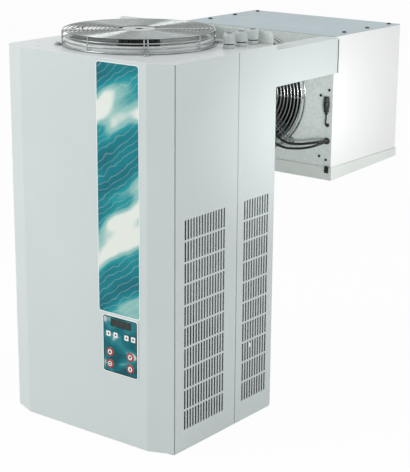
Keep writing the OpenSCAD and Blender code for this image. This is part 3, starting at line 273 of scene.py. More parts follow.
def printed_air_film():
    """Reverse-printed polycarbonate film, glossy: slanting currents of pale air over deep teal, in
    three widths, with fine contour lines; the ink's soft gradients are noise and waves."""
    made, tree, shader, place = started(
        "printed_polycarbonate_film", 0.34, Coat_Weight=0.1, Coat_Roughness=0.1, Specular_IOR_Level=0.15,
    )
    turned = add(tree, "Mapping", {
        "Vector": place, "Rotation": (0.0, math.radians(34), 0.0),
    }).outputs["Vector"]
    broad = add(tree, "TexWave", {
        "Vector": turned, "Scale": 2.1, "Distortion": 5.5, "Detail": 1.0, "Detail Scale": 1.3,
        "Phase Offset": 2.2,
    }, bands_direction="Z", wave_profile="SIN").outputs["Fac"]
    narrow = add(tree, "TexWave", {
        "Vector": turned, "Scale": 6.5, "Distortion": 4.0, "Detail": 1.0, "Detail Scale": 1.0,
    }, bands_direction="Z", wave_profile="SIN").outputs["Fac"]
    cloud = noise(tree, place, 95 * MM, 2.0, 0.45)
    glow = math_node(tree, "MULTIPLY", cloud, 0.62)
    glow = math_node(tree, "ADD", math_node(tree, "MULTIPLY", broad, 0.5), glow)
    glow = math_node(tree, "MULTIPLY_ADD", narrow, 0.16, glow)
    colour = ramp(tree, glow, [
        (0.32, "#006d79"), (0.50, "#007f8a"), (0.64, "#1b959c"), (0.76, "#8fc2bd"), (0.90, "#eaefe6"),
    ])
    contours = add(tree, "TexWave", {
        "Vector": turned, "Scale": 26.0, "Distortion": 5.5, "Detail": 1.0, "Detail Scale": 1.3,
    }, bands_direction="Z", wave_profile="SIN").outputs["Fac"]
    thin = math_node(tree, "GREATER_THAN", contours, 0.93)
    colour = mixed(tree, math_node(tree, "MULTIPLY", thin, 0.13), colour, linear("#e8efe6"))
    inside = edge_distance(tree, place, "artwork_strip", STRIP_CORNER)
    rim = math_node(tree, "LESS_THAN", inside, STRIP_RIM)
    colour = mixed(tree, rim, colour, linear("#f4f6f4"))
    tree.links.new(colour, shader.inputs["Base Color"])
    return made


def printed_overlay():
    """Printed membrane overlay of the controls: teal with pale smears, then a dark border and a
    white rim."""
    made, tree, shader, place = started(
        "printed_membrane_overlay", 0.4, Coat_Weight=0.05, Specular_IOR_Level=0.15,
    )
    smear = noise(tree, stretched(tree, place, 0.55, 1.0, 1.0), 34 * MM, 2.0, 0.5, 0.6)
    colour = ramp(tree, smear, [
        (0.36, "#03525c"), (0.50, "#076a75"), (0.60, "#2a838b"), (0.71, "#c9d6d2"),
    ])
    inside = edge_distance(tree, place, "control_frame", PANEL_CORNER)
    border = math_node(tree, "LESS_THAN", inside, PANEL_BORDER)
    rim = math_node(tree, "LESS_THAN", inside, PANEL_RIM)
    colour = mixed(tree, border, colour, linear("#0c2a30"))
    colour = mixed(tree, rim, colour, linear("#f4f6f4"))
    tree.links.new(colour, shader.inputs["Base Color"])
    return made


def circuit_board():
    """Green solder mask over glass fibre, with the tracks' paler lines."""
    made, tree, shader, place = started("solder_mask", 0.4)
    tracks = add(tree, "TexBrick", {
        "Vector": stretched(tree, place, 1.0, 1.0, 0.7), "Scale": 60.0, "Mortar Size": 0.012,
        "Color1": linear("#2d5a46"), "Color2": linear("#2a5542"), "Mortar": linear("#5d8a66"),
    })
    tree.links.new(tracks.outputs["Color"], shader.inputs["Base Color"])
    return made


# The last colour, near black, is painted shade on the panels' inner faces, seen through the louvres.
casing_paint = powder_coat("powder_coated_casing", "#d3dcda", "#ccd5d3", 0.42, "#23282a")
top_paint = powder_coat("powder_coated_top", "#e9edec", "#e2e7e6", 0.38)
evaporator_paint = powder_coat("powder_coated_evaporator", "#f4f4f2", "#edeeec", 0.36)
zinc_sheet = galvanised("galvanised_sheet", "#e2e8e5", "#c4ccc8", 9 * MM)
lid_metal = rolled_sheet("skin_passed_zinc_lid", "#b2c1c6", "#9fb0b6", 0.42, 0.45, (0.02, 0.02, 1.0))
tray_metal = rolled_sheet("rolled_aluminium_tray", "#eaeeea", "#d0d6d2", 0.42, 0.4, (0.02, 1.0, 1.0))
guard_metal = bright_metal("nickel_plated_wire", "#a4a9a8", "#858b8a", 0.2)
screw_metal = bright_metal("zinc_plated_screw", "#aeb4b5", "#8d9597", 0.3)
dark_metal = bright_metal("black_zinc_screw", "#4a4f51", "#2f3335", 0.32)
# Pressed aluminium blades drawn dark grey: painted shade for the shadowed space under the fan guards.
blade_metal = rolled_sheet("blade_darkened_as_shade", "#3d4244", "#2c3032", 0.4, 0.45, (1.0, 0.3, 1.0))
fin_metal = rolled_sheet("aluminium_fin_stock", "#c9cdcd", "#aeb4b4", 0.34, 0.85, (1.0, 0.05, 0.3))
copper_metal = bright_metal("drawn_copper_tube", "#c98a63", "#a9663f", 0.28)
black_enamel = enamel("black_compressor_enamel", "#17191b", "#101213", 0.3)
motor_enamel = enamel("black_motor_enamel", "#232629", "#191b1d", 0.42)
black_rubber = moulded("moulded_black_rubber", "#1d1d1d", "#151515", 0.62, 0.8 * MM, 0.05 * MM)
cable_sheath = moulded("extruded_cable_sheath", "#1b1c1e", "#131415", 0.36, 1.2 * MM, 0.03 * MM)
black_nylon = moulded("moulded_black_nylon", "#131415", "#0d0e0f", 0.48, 0.6 * MM, 0.05 * MM)
grey_nylon = moulded(
    "moulded_grey_nylon", "#c3cac8", "#b2bab8", 0.34, 0.8 * MM, 0.04 * MM, Subsurface_Weight=0.15,
    Subsurface_Scale=0.004,
)
grey_plastic = moulded("moulded_grey_abs", "#949c9f", "#8a9295", 0.5, 0.9 * MM, 0.05 * MM)
key_plastic = moulded("moulded_white_key", "#f3f3f0", "#ecece8", 0.32, 0.5 * MM, 0.02 * MM)
white_print = moulded("white_screen_print", "#f6f6f3", "#efefeb", 0.4, 0.5 * MM, 0.02 * MM)
red_print = moulded("red_pad_printing", "#b3261d", "#9d2019", 0.4, 0.5 * MM, 0.02 * MM)
dark_print = moulded("dark_pad_printing", "#1d2024", "#15171a", 0.4, 0.5 * MM, 0.02 * MM)
lamp_glass = moulded("dark_red_lamp_lens", "#3a1414", "#2a0e0e", 0.12, 0.8 * MM, 0.01 * MM)
display_glass = moulded("smoked_acrylic_window", "#0f1a17", "#0b1411", 0.1, 4 * MM, 0.01 * MM)
digit_print = moulded("unlit_display_segment", "#24423a", "#1f3a33", 0.25, 1 * MM, 0.01 * MM)
sleeve_foam = cellular_foam("elastomeric_foam_sleeve", "#2c2e30", "#1c1e1f", 1.6 * MM, 0.12 * MM)
panel_foam = cellular_foam("rigid_panel_foam", "#dedbc9", "#cdc9b3", 1.8 * MM, 0.15 * MM)
film = printed_air_film()
overlay = printed_overlay()
board_mask = circuit_board()

FINISHES = {
    casing_paint: [
        "front_panel", "right_side_panel", "left_side_panel", "right_rear_panel", "left_rear_panel",
    ],
    top_paint: ["top_panel", "fan_collar"],
    evaporator_paint: ["evaporator_right_side", "evaporator_left_side"],
    zinc_sheet: [
        "base_tray", "back_panel", "condenser_shroud", "right_trough_wall", "left_trough_wall",
        "evaporator_front_wall", "evaporator_fan_ring", "bridge_floor",
    ],
    lid_metal: ["evaporator_lid"],
    tray_metal: ["drain_tray"],
    guard_metal: ["condenser_fan_guard", "evaporator_fan_guard"],
    screw_metal: ["guard_screws"],
    dark_metal: ["lid_screws"],
    motor_enamel: ["condenser_motor", "evaporator_motor"],
    blade_metal: ["condenser_fan", "evaporator_fan"],
    fin_metal: ["condenser_coil", "evaporator_coil"],
    black_enamel: ["compressor", "liquid_receiver"],
    black_rubber: ["compressor_feet", "cable_grommet"],
    black_nylon: ["terminal_cover", "pressure_switch", "probe_gland", "tray_clips"],
    copper_metal: ["filter_drier", "discharge_pipe", "condensate_pipe", "receiver_pipe", "liquid_pipe"],
    sleeve_foam: ["suction_pipe"],
    grey_plastic: ["electrical_box"],
    film: ["artwork_strip"],
    overlay: ["control_frame"],
    board_mask: ["control_board"],
    display_glass: ["display_window"],
    lamp_glass: ["indicator_windows"],
    key_plastic: ["key_1", "key_2", "key_3", "key_4"],
    grey_nylon: ["cable_gland_1", "cable_gland_2", "cable_gland_3"],
    panel_foam: ["cheek_insulation"],
    cable_sheath: ["probe_loop", "fan_cables"],
}
for finish, names in FINISHES.items():
    for name in names:
        nodes[name].data.materials.clear()
        nodes[name].data.materials.append(finish)


# Surfaces: each shell is an array of points and an array of four-cornered faces

def grid(points, closed_u=False):
    """Faces between the rows u and columns v of a grid of points. The columns close on themselves,
    and the rows where asked."""
    rows, columns = points.shape[:2]
    u = np.arange(rows if closed_u else rows - 1)[:, None]
    v = np.arange(columns)[None, :]
    u2, v2 = (u + 1) % rows, (v + 1) % columns
    corners = [u * columns + v, u2 * columns + v, u2 * columns + v2, u * columns + v2]
    faces = np.stack([np.broadcast_to(c, (u.size, v.size)) for c in corners], -1).reshape(-1, 4)
    return points.reshape(-1, 3), faces


def outward(shell):
    """A closed shell with its faces turned outwards: the sum of its cones' volumes is positive."""
    points, faces = shell
    a, b, c, d = (points[faces[:, i]] for i in range(4))
    volume = (np.einsum("ij,ij->i", a, np.cross(b, c)) + np.einsum("ij,ij->i", a, np.cross(c, d))).sum()
    return points, faces if volume > 0 else faces[:, ::-1]


def piece(name, shells, finishes, marks, body, replaces, smooth=True):
    """One object from its shells; marks gives each shell's faces their place in finishes."""
    points = np.concatenate([s[0] for s in shells])
    starts = np.cumsum([0] + [len(s[0]) for s in shells[:-1]])
    faces = np.concatenate([s[1] + start for s, start in zip(shells, starts)])
    mesh = bpy.data.meshes.new(name)
    mesh.vertices.add(len(points))
    mesh.vertices.foreach_set("co", points.astype(np.float32).ravel())
    mesh.loops.add(faces.size)
    mesh.loops.foreach_set("vertex_index", faces.astype(np.int32).ravel())
    mesh.polygons.add(len(faces))
    mesh.polygons.foreach_set("loop_start", np.arange(0, faces.size, 4, dtype=np.int32))
    mesh.polygons.foreach_set("loop_total", np.full(len(faces), 4, np.int32))
    for finish in finishes:
        mesh.materials.append(finish)
    mesh.polygons.foreach_set("material_index", np.concatenate(marks).astype(np.int32))
    mesh.update(calc_edges=True)
    # Poles and seams come as coincident points: joined, each shell is one closed surface
    shape = bmesh.new()
    shape.from_mesh(mesh)
    bmesh.ops.remove_doubles(shape, verts=shape.verts[:], dist=0.001 * MM)
    shape.to_mesh(mesh)
    shape.free()
    mesh.polygons.foreach_set("use_smooth", np.full(len(mesh.polygons), smooth))
    if smooth:
        mesh.set_sharp_from_angle(angle=math.radians(50))
    mesh.update()
    made = bpy.data.objects.new(name, mesh)
    bpy.context.scene.collection.objects.link(made)
    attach(made, body)
    if replaces:
        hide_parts(*replaces)
    return made


def built(name, groups, body="casing", replaces=(), smooth=True):
    """One piece from groups, each a finish and the shells that carry it."""
    shells = [shell for _, group in groups for shell in group]
    marks = [np.full(len(shell[1]), i) for i, (_, group) in enumerate(groups) for shell in group]
    return piece(name, shells, [finish for finish, _ in groups], marks, body, replaces, smooth)


def creased(profile, edge):
    """A profile with a second point close to each corner, so that smooth shading keeps the corner."""
    points = np.array(profile, float)
    steps = np.diff(points, axis=0)
    lengths = np.linalg.norm(steps, axis=1, keepdims=True)
    short = np.minimum(edge / np.maximum(lengths, 1e-9), 0.4)
    pairs = np.stack([points[:-1] + steps * short, points[1:] - steps * short], 1).reshape(-1, 2)
    return np.concatenate([points[:1], pairs, points[-1:]])


def revolved(profile, place, axis, steps, radius=None, rise=None, loop=False):
    """A profile of radius and height turned about an axis through place: the point at turn t is
    (r cos t, r sin t, h). radius may change r, and rise may change h, by r, h and the turn; loop
    joins the profile's two ends."""
    turns = (np.arange(steps) * 2 * np.pi / steps)[None, :]
    r, h = profile[:, 0][:, None], profile[:, 1][:, None]
    wide = np.broadcast_to(r, (len(profile), steps)) if radius is None else radius(r, h, turns)
    high = np.broadcast_to(h, wide.shape) if rise is None else rise(r, h, turns)
    a, b = wide * np.cos(turns), wide * np.sin(turns)
    spots = {"z": (a, b, high), "-y": (a, -high, b), "x": (high, a, b)}[axis]
    return outward(grid(np.stack(spots, -1) + np.array(place), closed_u=loop))


def swept(path, radius, sides=20):
    """A round tube along a path: circles square to the path's direction, closed by a point at
    either end. The circles keep their own turn from one to the next."""
    path = np.array(path, float)
    direction = np.gradient(path, axis=0)
    direction /= np.linalg.norm(direction, axis=1, keepdims=True)
    normal = np.zeros_like(path)
    n = np.cross(direction[0], [0.31, 0.2, 0.93])
    for i, t in enumerate(direction):
        n = n - t * (n @ t)
        n /= np.linalg.norm(n)
        normal[i] = n
    side = np.cross(direction, normal)
    turns = np.arange(sides) * 2 * np.pi / sides
    ring = (
        path[:, None] + radius * np.cos(turns)[None, :, None] * normal[:, None]
        + radius * np.sin(turns)[None, :, None] * side[:, None]
    )
    ends = [np.broadcast_to(path[i], (1, sides, 3)) for i in (0, -1)]
    return outward(grid(np.concatenate([ends[0], ring, ends[1]])))


def smooth_curve(points, steps):
    """The Catmull-Rom curve through a route's points, the same formula that the solid follows."""
    p = np.array(points, float)
    q = np.concatenate([p[:1], p, p[-1:]])
    a, b, c, d = q[:-3], q[1:-2], q[2:-1], q[3:]
    t = (np.arange(steps) / steps)[None, :, None]
    a, b, c, d = (m[:, None] for m in (a, b, c, d))
    bend, twist = 2 * a - 5 * b + 4 * c - d, 3 * b - a - 3 * c + d
    curve = (2 * b + (c - a) * t + bend * t ** 2 + twist * t ** 3) / 2
    return np.concatenate([curve.reshape(-1, 3), p[-1:]])


def rounded_outline(w, h, r):
    """A rectangle with round corners, as points round its middle."""
    corner = np.linspace(0, np.pi / 2, 8)
    quarters = []
    for k, (sx, sy) in enumerate([(1, 1), (-1, 1), (-1, -1), (1, -1)]):
        turn = corner + k * np.pi / 2
        quarters.append(np.stack([
            sx * (w / 2 - r) + r * np.cos(turn), sy * (h / 2 - r) + r * np.sin(turn),
        ], -1))
    return np.concatenate(quarters)


def blocks(low, high):
    """Many boxes at once: arrays of lowest and highest corners, as one set of points and faces."""
    low, high = np.atleast_2d(low), np.atleast_2d(high)
    pick = np.array([[0, 0, 0], [1, 0, 0], [1, 1, 0], [0, 1, 0], [0, 0, 1], [1, 0, 1], [1, 1, 1], [0, 1, 1]])
    points = np.where(pick[None], high[:, None], low[:, None])
    sides = np.array([[0, 3, 2, 1], [4, 5, 6, 7], [0, 1, 5, 4], [1, 2, 6, 5], [2, 3, 7, 6], [3, 0, 4, 7]])
    faces = sides[None] + (np.arange(len(low)) * 8)[:, None, None]
    return points.reshape(-1, 3), faces.reshape(-1, 4)


# Cables at the evaporator: routes from part.scad, in millimetres from the grommet's mouth

GROMMET_X = 181.0
GROMMET_Z = 510.0
MOUTH = np.array([GROMMET_X, 539.0, GROMMET_Z])
CABLE_R = 2.6
CABLE_TURN = 12.0
CABLE_OUT = 18.0
CABLE_LEAD = 2.6
CABLE_START = 0.3
CABLE_SLOPE = math.radians(60)
MOTOR_FACE_Y = 535.6
MOTOR_ENTRY_R = 36.5
EVAPORATOR_FAN_Z = 594.0
UPPER_ROUTE = [
    (3, -0.3, 2.5), (3, -9, 2.5), (1.2, -15, 2.2), (-3, -19.4, 1.4), (-9, -21, 0), (-26, -21, -4),
    (-52, -21, -9), (-80, -21, -10), (-103, -21, -1), (-117, -21, 21),
]
LOWER_ROUTE = [
    (-3, -0.3, -3), (-3, -6, -3), (-4.5, -12, -3.8), (-8.5, -17, -5.5), (-15, -20.4, -8.5),
    (-32, -21, -14), (-56, -21, -19), (-88, -21, -21), (-114, -21, -13), (-128, -21, 8),
]


def motor_entry(angle, back, out):
    """A place back down the cable's slope from its entry, and so far out from the motor's face."""
    turn = math.radians(angle)
    return (
        MOTOR_ENTRY_R * math.cos(turn) + back * math.cos(CABLE_SLOPE), MOTOR_FACE_Y - out,
        EVAPORATOR_FAN_Z + MOTOR_ENTRY_R * math.sin(turn) - back * math.sin(CABLE_SLOPE),
    )


def in_metres(points):
    """Places in part.scad's millimetres, as this frame's metres."""
    return (np.array(points, float) + [0.0, FRONT_Y / MM, 0.0]) * MM


def cable_path(route, angle):
    """The route from the grommet, then a quarter turn into the motor's face, as a smooth curve."""
    end = [motor_entry(angle, CABLE_LEAD * CABLE_TURN, CABLE_OUT)]
    for a in np.radians([0.0, 30.0, 60.0, 90.0]):
        end.append(motor_entry(
            angle, (1 - math.sin(a)) * CABLE_TURN, CABLE_OUT - (1 - math.cos(a)) * CABLE_TURN,
        ))
    end.append(motor_entry(angle, 0.0, CABLE_START))
    return in_metres(smooth_curve([tuple(MOUTH + p) for p in route] + end, 6))


def fan_cable(name, route, angle):
    """One round cable from the grommet to the motor, held at both ends."""
    path = cable_path(route, angle)
    tube = swept(path, CABLE_R * MM)
    made = built(name, [(cable_sheath, [tube])], replaces=["fan_cables"])


fan_cable("upper_fan_cable", UPPER_ROUTE, -8)
fan_cable("lower_fan_cable", LOWER_ROUTE, -32.5)


def middle(node):
    """The middle of a node's box."""
    low, high = (np.array(corner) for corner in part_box(node))
    return (low + high) / 2


# Impellers: five pressed blades on a cup-shaped hub, the same form as the solids on a finer grid

CONDENSER_TIP = 127 * MM
EVAPORATOR_TIP = 110 * MM
HUB_R = 32 * MM
HUB_L = 24 * MM
HUB_WALL = 2.5 * MM
HUB_GAP = 4 * MM
HUB_BORE = 4.3 * MM
BOSS_R = 9 * MM
BLADE_ROOT = 3 * MM
BLADE_CHORD = 52 * MM
BLADE_SWEEP = 16 * MM
BLADE_RISE = 25 * MM
BLADE_CAMBER = 5 * MM
BLADE_T = 1.8 * MM
BLADES = 5


def stood(points, place, facing):
    """Points drawn about an upright axis, with that axis up or turned to the front at place."""
    if facing == "-y":
        points = np.stack([points[..., 0], -points[..., 2], points[..., 1]], -1)
    return points + np.array(place)


def blade(tip, turn, place, facing):
    """One blade. At u outwards and v from the leading to the trailing edge it lies at radius r(u),
    swept round by u squared, raised by the pitch and the camber 4v(1-v); its two skins are half a
    thickness above and below, and its outer corners are rounded."""
    u, v = np.meshgrid(np.linspace(0, 1, 30), np.linspace(0, 1, 19), indexing="ij")
    r = HUB_R - BLADE_ROOT + u * (tip - HUB_R + BLADE_ROOT)
    corner = np.sqrt(1 - 0.55 * np.clip((u - 0.86) / 0.14, 0, 1) ** 2)
    k = 0.5 + (v - 0.5) * corner
    across = (k - 0.5) * BLADE_CHORD * (0.72 + 0.55 * u) + BLADE_SWEEP * u * u
    a = across / r * (0.55 + 0.45 * u) + turn
    z = (k - 0.5) * BLADE_RISE * (1.15 - 0.35 * u) + BLADE_CAMBER * 4 * k * (1 - k) + HUB_L / 2
    t = BLADE_T * (0.35 + 2.6 * k * (1 - k)) / 2
    skins = [np.stack([r * np.cos(a), r * np.sin(a), z + side * t], -1) for side in (1, -1)]
    around = np.concatenate([skins[0], skins[1][:, ::-1]], 1)
    flat = (skins[0] + skins[1]) / 2
    ends = np.concatenate([flat, flat[:, ::-1]], 1)
    around = np.concatenate([ends[:1], around, ends[-1:]])
    return outward(grid(stood(around, place, facing)))


def impeller(node, motor, tip, facing):
    """The hub under the motor's shaft end, with its boss, and the blades round it."""
    low, high = (np.array(corner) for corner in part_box(motor))
    place = middle(motor)
    if facing == "z":
        place[2] = low[2] - HUB_GAP
    else:
        place[1] = high[1] + HUB_GAP
    r, w, h = HUB_R, HUB_WALL, HUB_L
    cup = creased([
        (HUB_BORE, 0), (r - 4 * MM, 0), (r - 1.2 * MM, 1.2 * MM), (r, 4 * MM), (r, h), (r - w, h),
        (r - w, w + 2 * MM), (r - w - 2 * MM, w), (BOSS_R + MM, w), (BOSS_R, w + MM),
        (BOSS_R, h - HUB_GAP), (HUB_BORE, h - HUB_GAP), (HUB_BORE, 0),
    ], 0.3 * MM)
    shells = [revolved(cup[:-1], place, facing, 72, loop=True)]
    shells += [blade(tip, 2 * np.pi * i / BLADES, place, facing) for i in range(BLADES)]
    built(node + "_pressed", [(blade_metal, shells)], body=node, replaces=[node])


impeller("condenser_fan", "condenser_motor", CONDENSER_TIP, "z")
impeller("evaporator_fan", "evaporator_motor", EVAPORATOR_TIP, "-y")


# Finned coils: fins on through tubes between two end plates, with the tubes' return bends

FIN_PITCH = 3 * MM
FIN_T = 0.3 * MM
END_PLATE = 1.2 * MM
TUBE_R = 4.5 * MM
TUBE_PITCH = 25 * MM
BEND_OUT = 4 * MM
BENDS = 4
COPPER_GROUP = 2
CONDENSER_COIL_HALF = 120 * MM
EVAPORATOR_COIL_HALF = 150 * MM


def finned_coil(node, half_width, rows_along, extra=()):
    """Fins 3 mm apart as thin plates across the tubes; each return bend is a half circle swept
    round. rows_along is the axis on which the tubes are ranged."""
    low, high = (np.array(corner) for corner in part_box(node))
    x = (low[0] + high[0]) / 2
    count = int(2 * half_width / FIN_PITCH) - 1
    places = x + (np.arange(count) - (count - 1) / 2) * FIN_PITCH
    bottom = np.stack([places - FIN_T / 2, np.full(count, low[1]), np.full(count, low[2])], -1)
    top = np.stack([places + FIN_T / 2, np.full(count, high[1]), np.full(count, high[2])], -1)
    plates = [
        blocks([x + side * half_width - (END_PLATE if side < 0 else 0), low[1], low[2]],
               [x + side * half_width + (END_PLATE if side > 0 else 0), high[1], high[2]])
        for side in (-1, 1)
    ]
    centre = np.array([x, (low[1] + high[1]) / 2, (low[2] + high[2]) / 2])
    tubes = []
    turn = np.linspace(-np.pi / 2, np.pi / 2, 15)[:, None]
    along = np.eye(3)[rows_along]
    for i in range(BENDS):
        shift = (i - (BENDS - 1) / 2) * 2 * TUBE_PITCH
        for side in (-1, 1):
            out = np.array([side, 0.0, 0.0])
            start = centre + along * shift + out * (half_width + END_PLATE / 2)
            bend = start + out * BEND_OUT + (out * np.cos(turn) + along * np.sin(turn)) * TUBE_PITCH / 2
            legs = [start + along * s * TUBE_PITCH / 2 for s in (-1, 1)]
            tubes.append(swept(np.concatenate([legs[:1], bend, legs[1:]]), TUBE_R, 14))
        for s in (-1, 1):
            line = centre + along * (shift + s * TUBE_PITCH / 2)
            reach = np.array([half_width, 0.0, 0.0])
            tubes.append(swept(np.stack([line - reach, line, line + reach]), TUBE_R, 14))
    groups = [
        (fin_metal, [blocks(bottom, top)]), (zinc_sheet, plates + list(extra)), (copper_metal, tubes),
    ]
    faces = built(node + "_fins", groups, replaces=[node]).data.polygons
    group = np.empty(len(faces), np.int32)
    faces.foreach_get("material_index", group)
    faces.foreach_set("use_smooth", group == COPPER_GROUP)


def evaporator_blanks():
    """Blanking plates beside the evaporator coil, which keep the air in its fins."""
    low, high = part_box("evaporator_coil")
    inner, back = EVAPORATOR_COIL_HALF + END_PLATE, high[1] - END_PLATE
    return [
        blocks([inner, back, low[2]], [high[0], high[1], high[2]]),
        blocks([low[0], back, low[2]], [-inner, high[1], high[2]]),
    ]


finned_coil("condenser_coil", CONDENSER_COIL_HALF, 1)
finned_coil("evaporator_coil", EVAPORATOR_COIL_HALF, 2, evaporator_blanks())


# Controls: keys, lamp lenses and the display

LAMP_SHARES = (-0.333, -0.131, 0.179, 0.369)
LAMP_SQUARE = 10.4 * MM
LAMP_SQUARE_CORNER = 1.8 * MM
FIGURE_PLACES = (-12.5, 0.0, 12.5)
FIGURE_LEAN = 0.12


def flat_print(outline, x, y, z, proud):
    """A flat mark on the front: its outline about (x, z), raised by proud from y, and closed at
    its middle on both faces."""
    points = np.array(outline, float)
    ring = np.stack([x + points[:, 0], np.full(len(points), y), z + points[:, 1]], -1)
    hub = np.broadcast_to([x, y, z], ring.shape)
    lift = np.array([0.0, proud, 0.0])
    return outward(grid(np.stack([hub, ring, ring - lift, hub - lift])))


def along_outline(corners, count=8):
    """Points spaced along the straight sides of a closed outline."""
    p = np.array(corners, float)
    q = np.roll(p, -1, axis=0)
    t = (np.arange(count) / count)[None, :, None]
    return (p[:, None] * (1 - t) + q[:, None] * t).reshape(-1, 2)


def key_symbol(i, x, y, z):
    """Up, down, power and drop marks, at most 6.5 mm across."""
    proud, unit = 0.08 * MM, 1.3 * MM
    if i < 2:
        tip = 1 if i == 0 else -1
        base = -1.7 * tip * unit
        arrow = along_outline([(0, 2.7 * tip * unit), (2.5 * unit, base), (-2.5 * unit, base)])
        return [flat_print(arrow, x, y, z, proud)]
    if i == 2:
        ring = np.array([(1.4 * unit, 0), (2.4 * unit, 0), (2.4 * unit, proud), (1.4 * unit, proud)])
        bar = blocks([x - 0.5 * unit, y - 1.5 * proud, z + 0.4 * unit], [x + 0.5 * unit, y, z + 2.8 * unit])
        return [revolved(ring, (x, y, z - 0.3 * unit), "-y", 32, loop=True), bar]
    t = np.linspace(0, 2 * np.pi, 40, endpoint=False)
    drop = np.stack([
        2.1 * np.sin(t) * np.sin(t / 2) ** 1.5, 2.4 * np.cos(t) + 0.1,
    ], -1) * unit
    return [flat_print(drop, x, y, z, proud)]


def key_cap(i):
    """A round cap turned from its profile: a dished face, a raised red ring, a rim that keeps it in
    and a stem."""
    node = f"key_{i + 1}"
    low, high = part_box(node)
    x, z = middle(node)[[0, 2]]
    front, rim, deep = low[1], (high[0] - low[0]) / 2, high[1] - low[1]
    cap = rim - 0.9 * MM
    face = creased([(0, -0.3 * MM), (4.6 * MM, -0.22 * MM), (5.1 * MM, -0.02 * MM)], 0.1 * MM)
    ring = creased([
        (5.1 * MM, -0.02 * MM), (7.8 * MM, 0), (cap - 0.2 * MM, -0.3 * MM), (cap, -0.8 * MM),
    ], 0.1 * MM)
    back = creased([
        (cap, -0.8 * MM), (cap, -3.5 * MM), (rim, -3.5 * MM), (rim, -5.0 * MM), (3 * MM, -5.0 * MM),
        (3 * MM, -deep), (0, -deep),
    ], 0.1 * MM)
    profile = np.concatenate([face, ring[1:], back[1:]])
    shell = revolved(profile, (x, front, z), "-y", 40)
    rows = np.arange(len(profile) - 1)
    red = (rows >= len(face) - 1) & (rows < len(face) + len(ring) - 2)
    marks = [np.repeat(red.astype(int), 40)]
    symbol = key_symbol(i, x, front + 0.26 * MM, z)
    marks += [np.full(len(part[1]), 2) for part in symbol]
    piece(
        node + "_cap", [shell] + symbol, [key_plastic, red_print, dark_print], marks,
        body=node, replaces=[node],
    )


def lamp_places():
    """The lamps' middles on the overlay, by their share of its width."""
    low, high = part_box("control_frame")
    z = middle("indicator_windows")[2]
    return [((low[0] + high[0]) / 2 + share * (high[0] - low[0]), low[1], z) for share in LAMP_SHARES]


def lamp_squares():
    """White rounded squares printed on the overlay, one about each lamp."""
    outline = rounded_outline(LAMP_SQUARE, LAMP_SQUARE, LAMP_SQUARE_CORNER)
    return [flat_print(outline, *p, 0.06 * MM) for p in lamp_places()]


def lamp_lenses():
    """Four small domed lenses that stand in the overlay's white squares."""
    dome = np.array([
        (0, 0.5), (1.0, 0.42), (1.7, 0.2), (2.2, -0.15), (2.35, -0.6), (2.35, -2), (0, -2),
    ]) * MM
    return [revolved(creased(dome, 0.1 * MM), p, "-y", 24) for p in lamp_places()]


def display_digits():
    """Three unlit seven-segment figures that lean a little, in millimetres from the window's middle."""
    x, z = middle("display_window")[[0, 2]]
    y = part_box("display_window")[0][1]
    segments = [(0, 5, 1), (0, 0, 1), (0, -5, 1), (-3, 2.5, 0), (3, 2.5, 0), (-3, -2.5, 0), (3, -2.5, 0)]
    shells = []
    for place in FIGURE_PLACES:
        for sx, sz, level in segments:
            half = (2.3, 0.55) if level else (0.55, 1.9)
            corners = np.array([
                (-half[0], -half[1]), (half[0], -half[1]), (half[0], half[1]), (-half[0], half[1]),
            ]) + [sx, sz]
            corners[:, 0] += place + corners[:, 1] * FIGURE_LEAN
            mid = corners.mean(0)
            shells.append(flat_print(
                along_outline((corners - mid) * MM, 2), x + mid[0] * MM, y, z + mid[1] * MM, 0.05 * MM,
            ))
    return shells


for number in range(4):
    key_cap(number)
built("indicator_lenses", [
    (lamp_glass, lamp_lenses()), (white_print, lamp_squares()),
], replaces=["indicator_windows"])
built("display_figures", [(digit_print, display_digits())], smooth=False)


# Cable glands: hexagonal base, rubber seal, ribbed cap nut with a rubber insert, and the lock nut
# under the top panel

HEX_H = 7 * MM
SEAL_H = 2 * MM
CAP_TOP = 24 * MM
GLAND_TOP = 29 * MM
GLAND_BORE = 6 * MM
RIBS = 18


def hexagon(r, h, turns):
    """Radius that follows a hexagon's sides outside the bore, and stays round inside it."""
    sixth = np.mod(turns, np.pi / 3) - np.pi / 6
    return np.where(r > GLAND_BORE + 3 * MM, r * np.cos(np.pi / 6) / np.cos(sixth), r + 0 * turns)


def ribbed(r, h, turns):
    """Radius with round ribs on the cap's grip, which fade out above and below it."""
    grip = np.clip((h - 10.2 * MM) / MM, 0, 1) * np.clip((22.5 * MM - h) / MM, 0, 1) * (r > 9 * MM)
    return r - grip * 0.75 * MM * (0.5 - 0.5 * np.cos(RIBS * turns)) ** 2


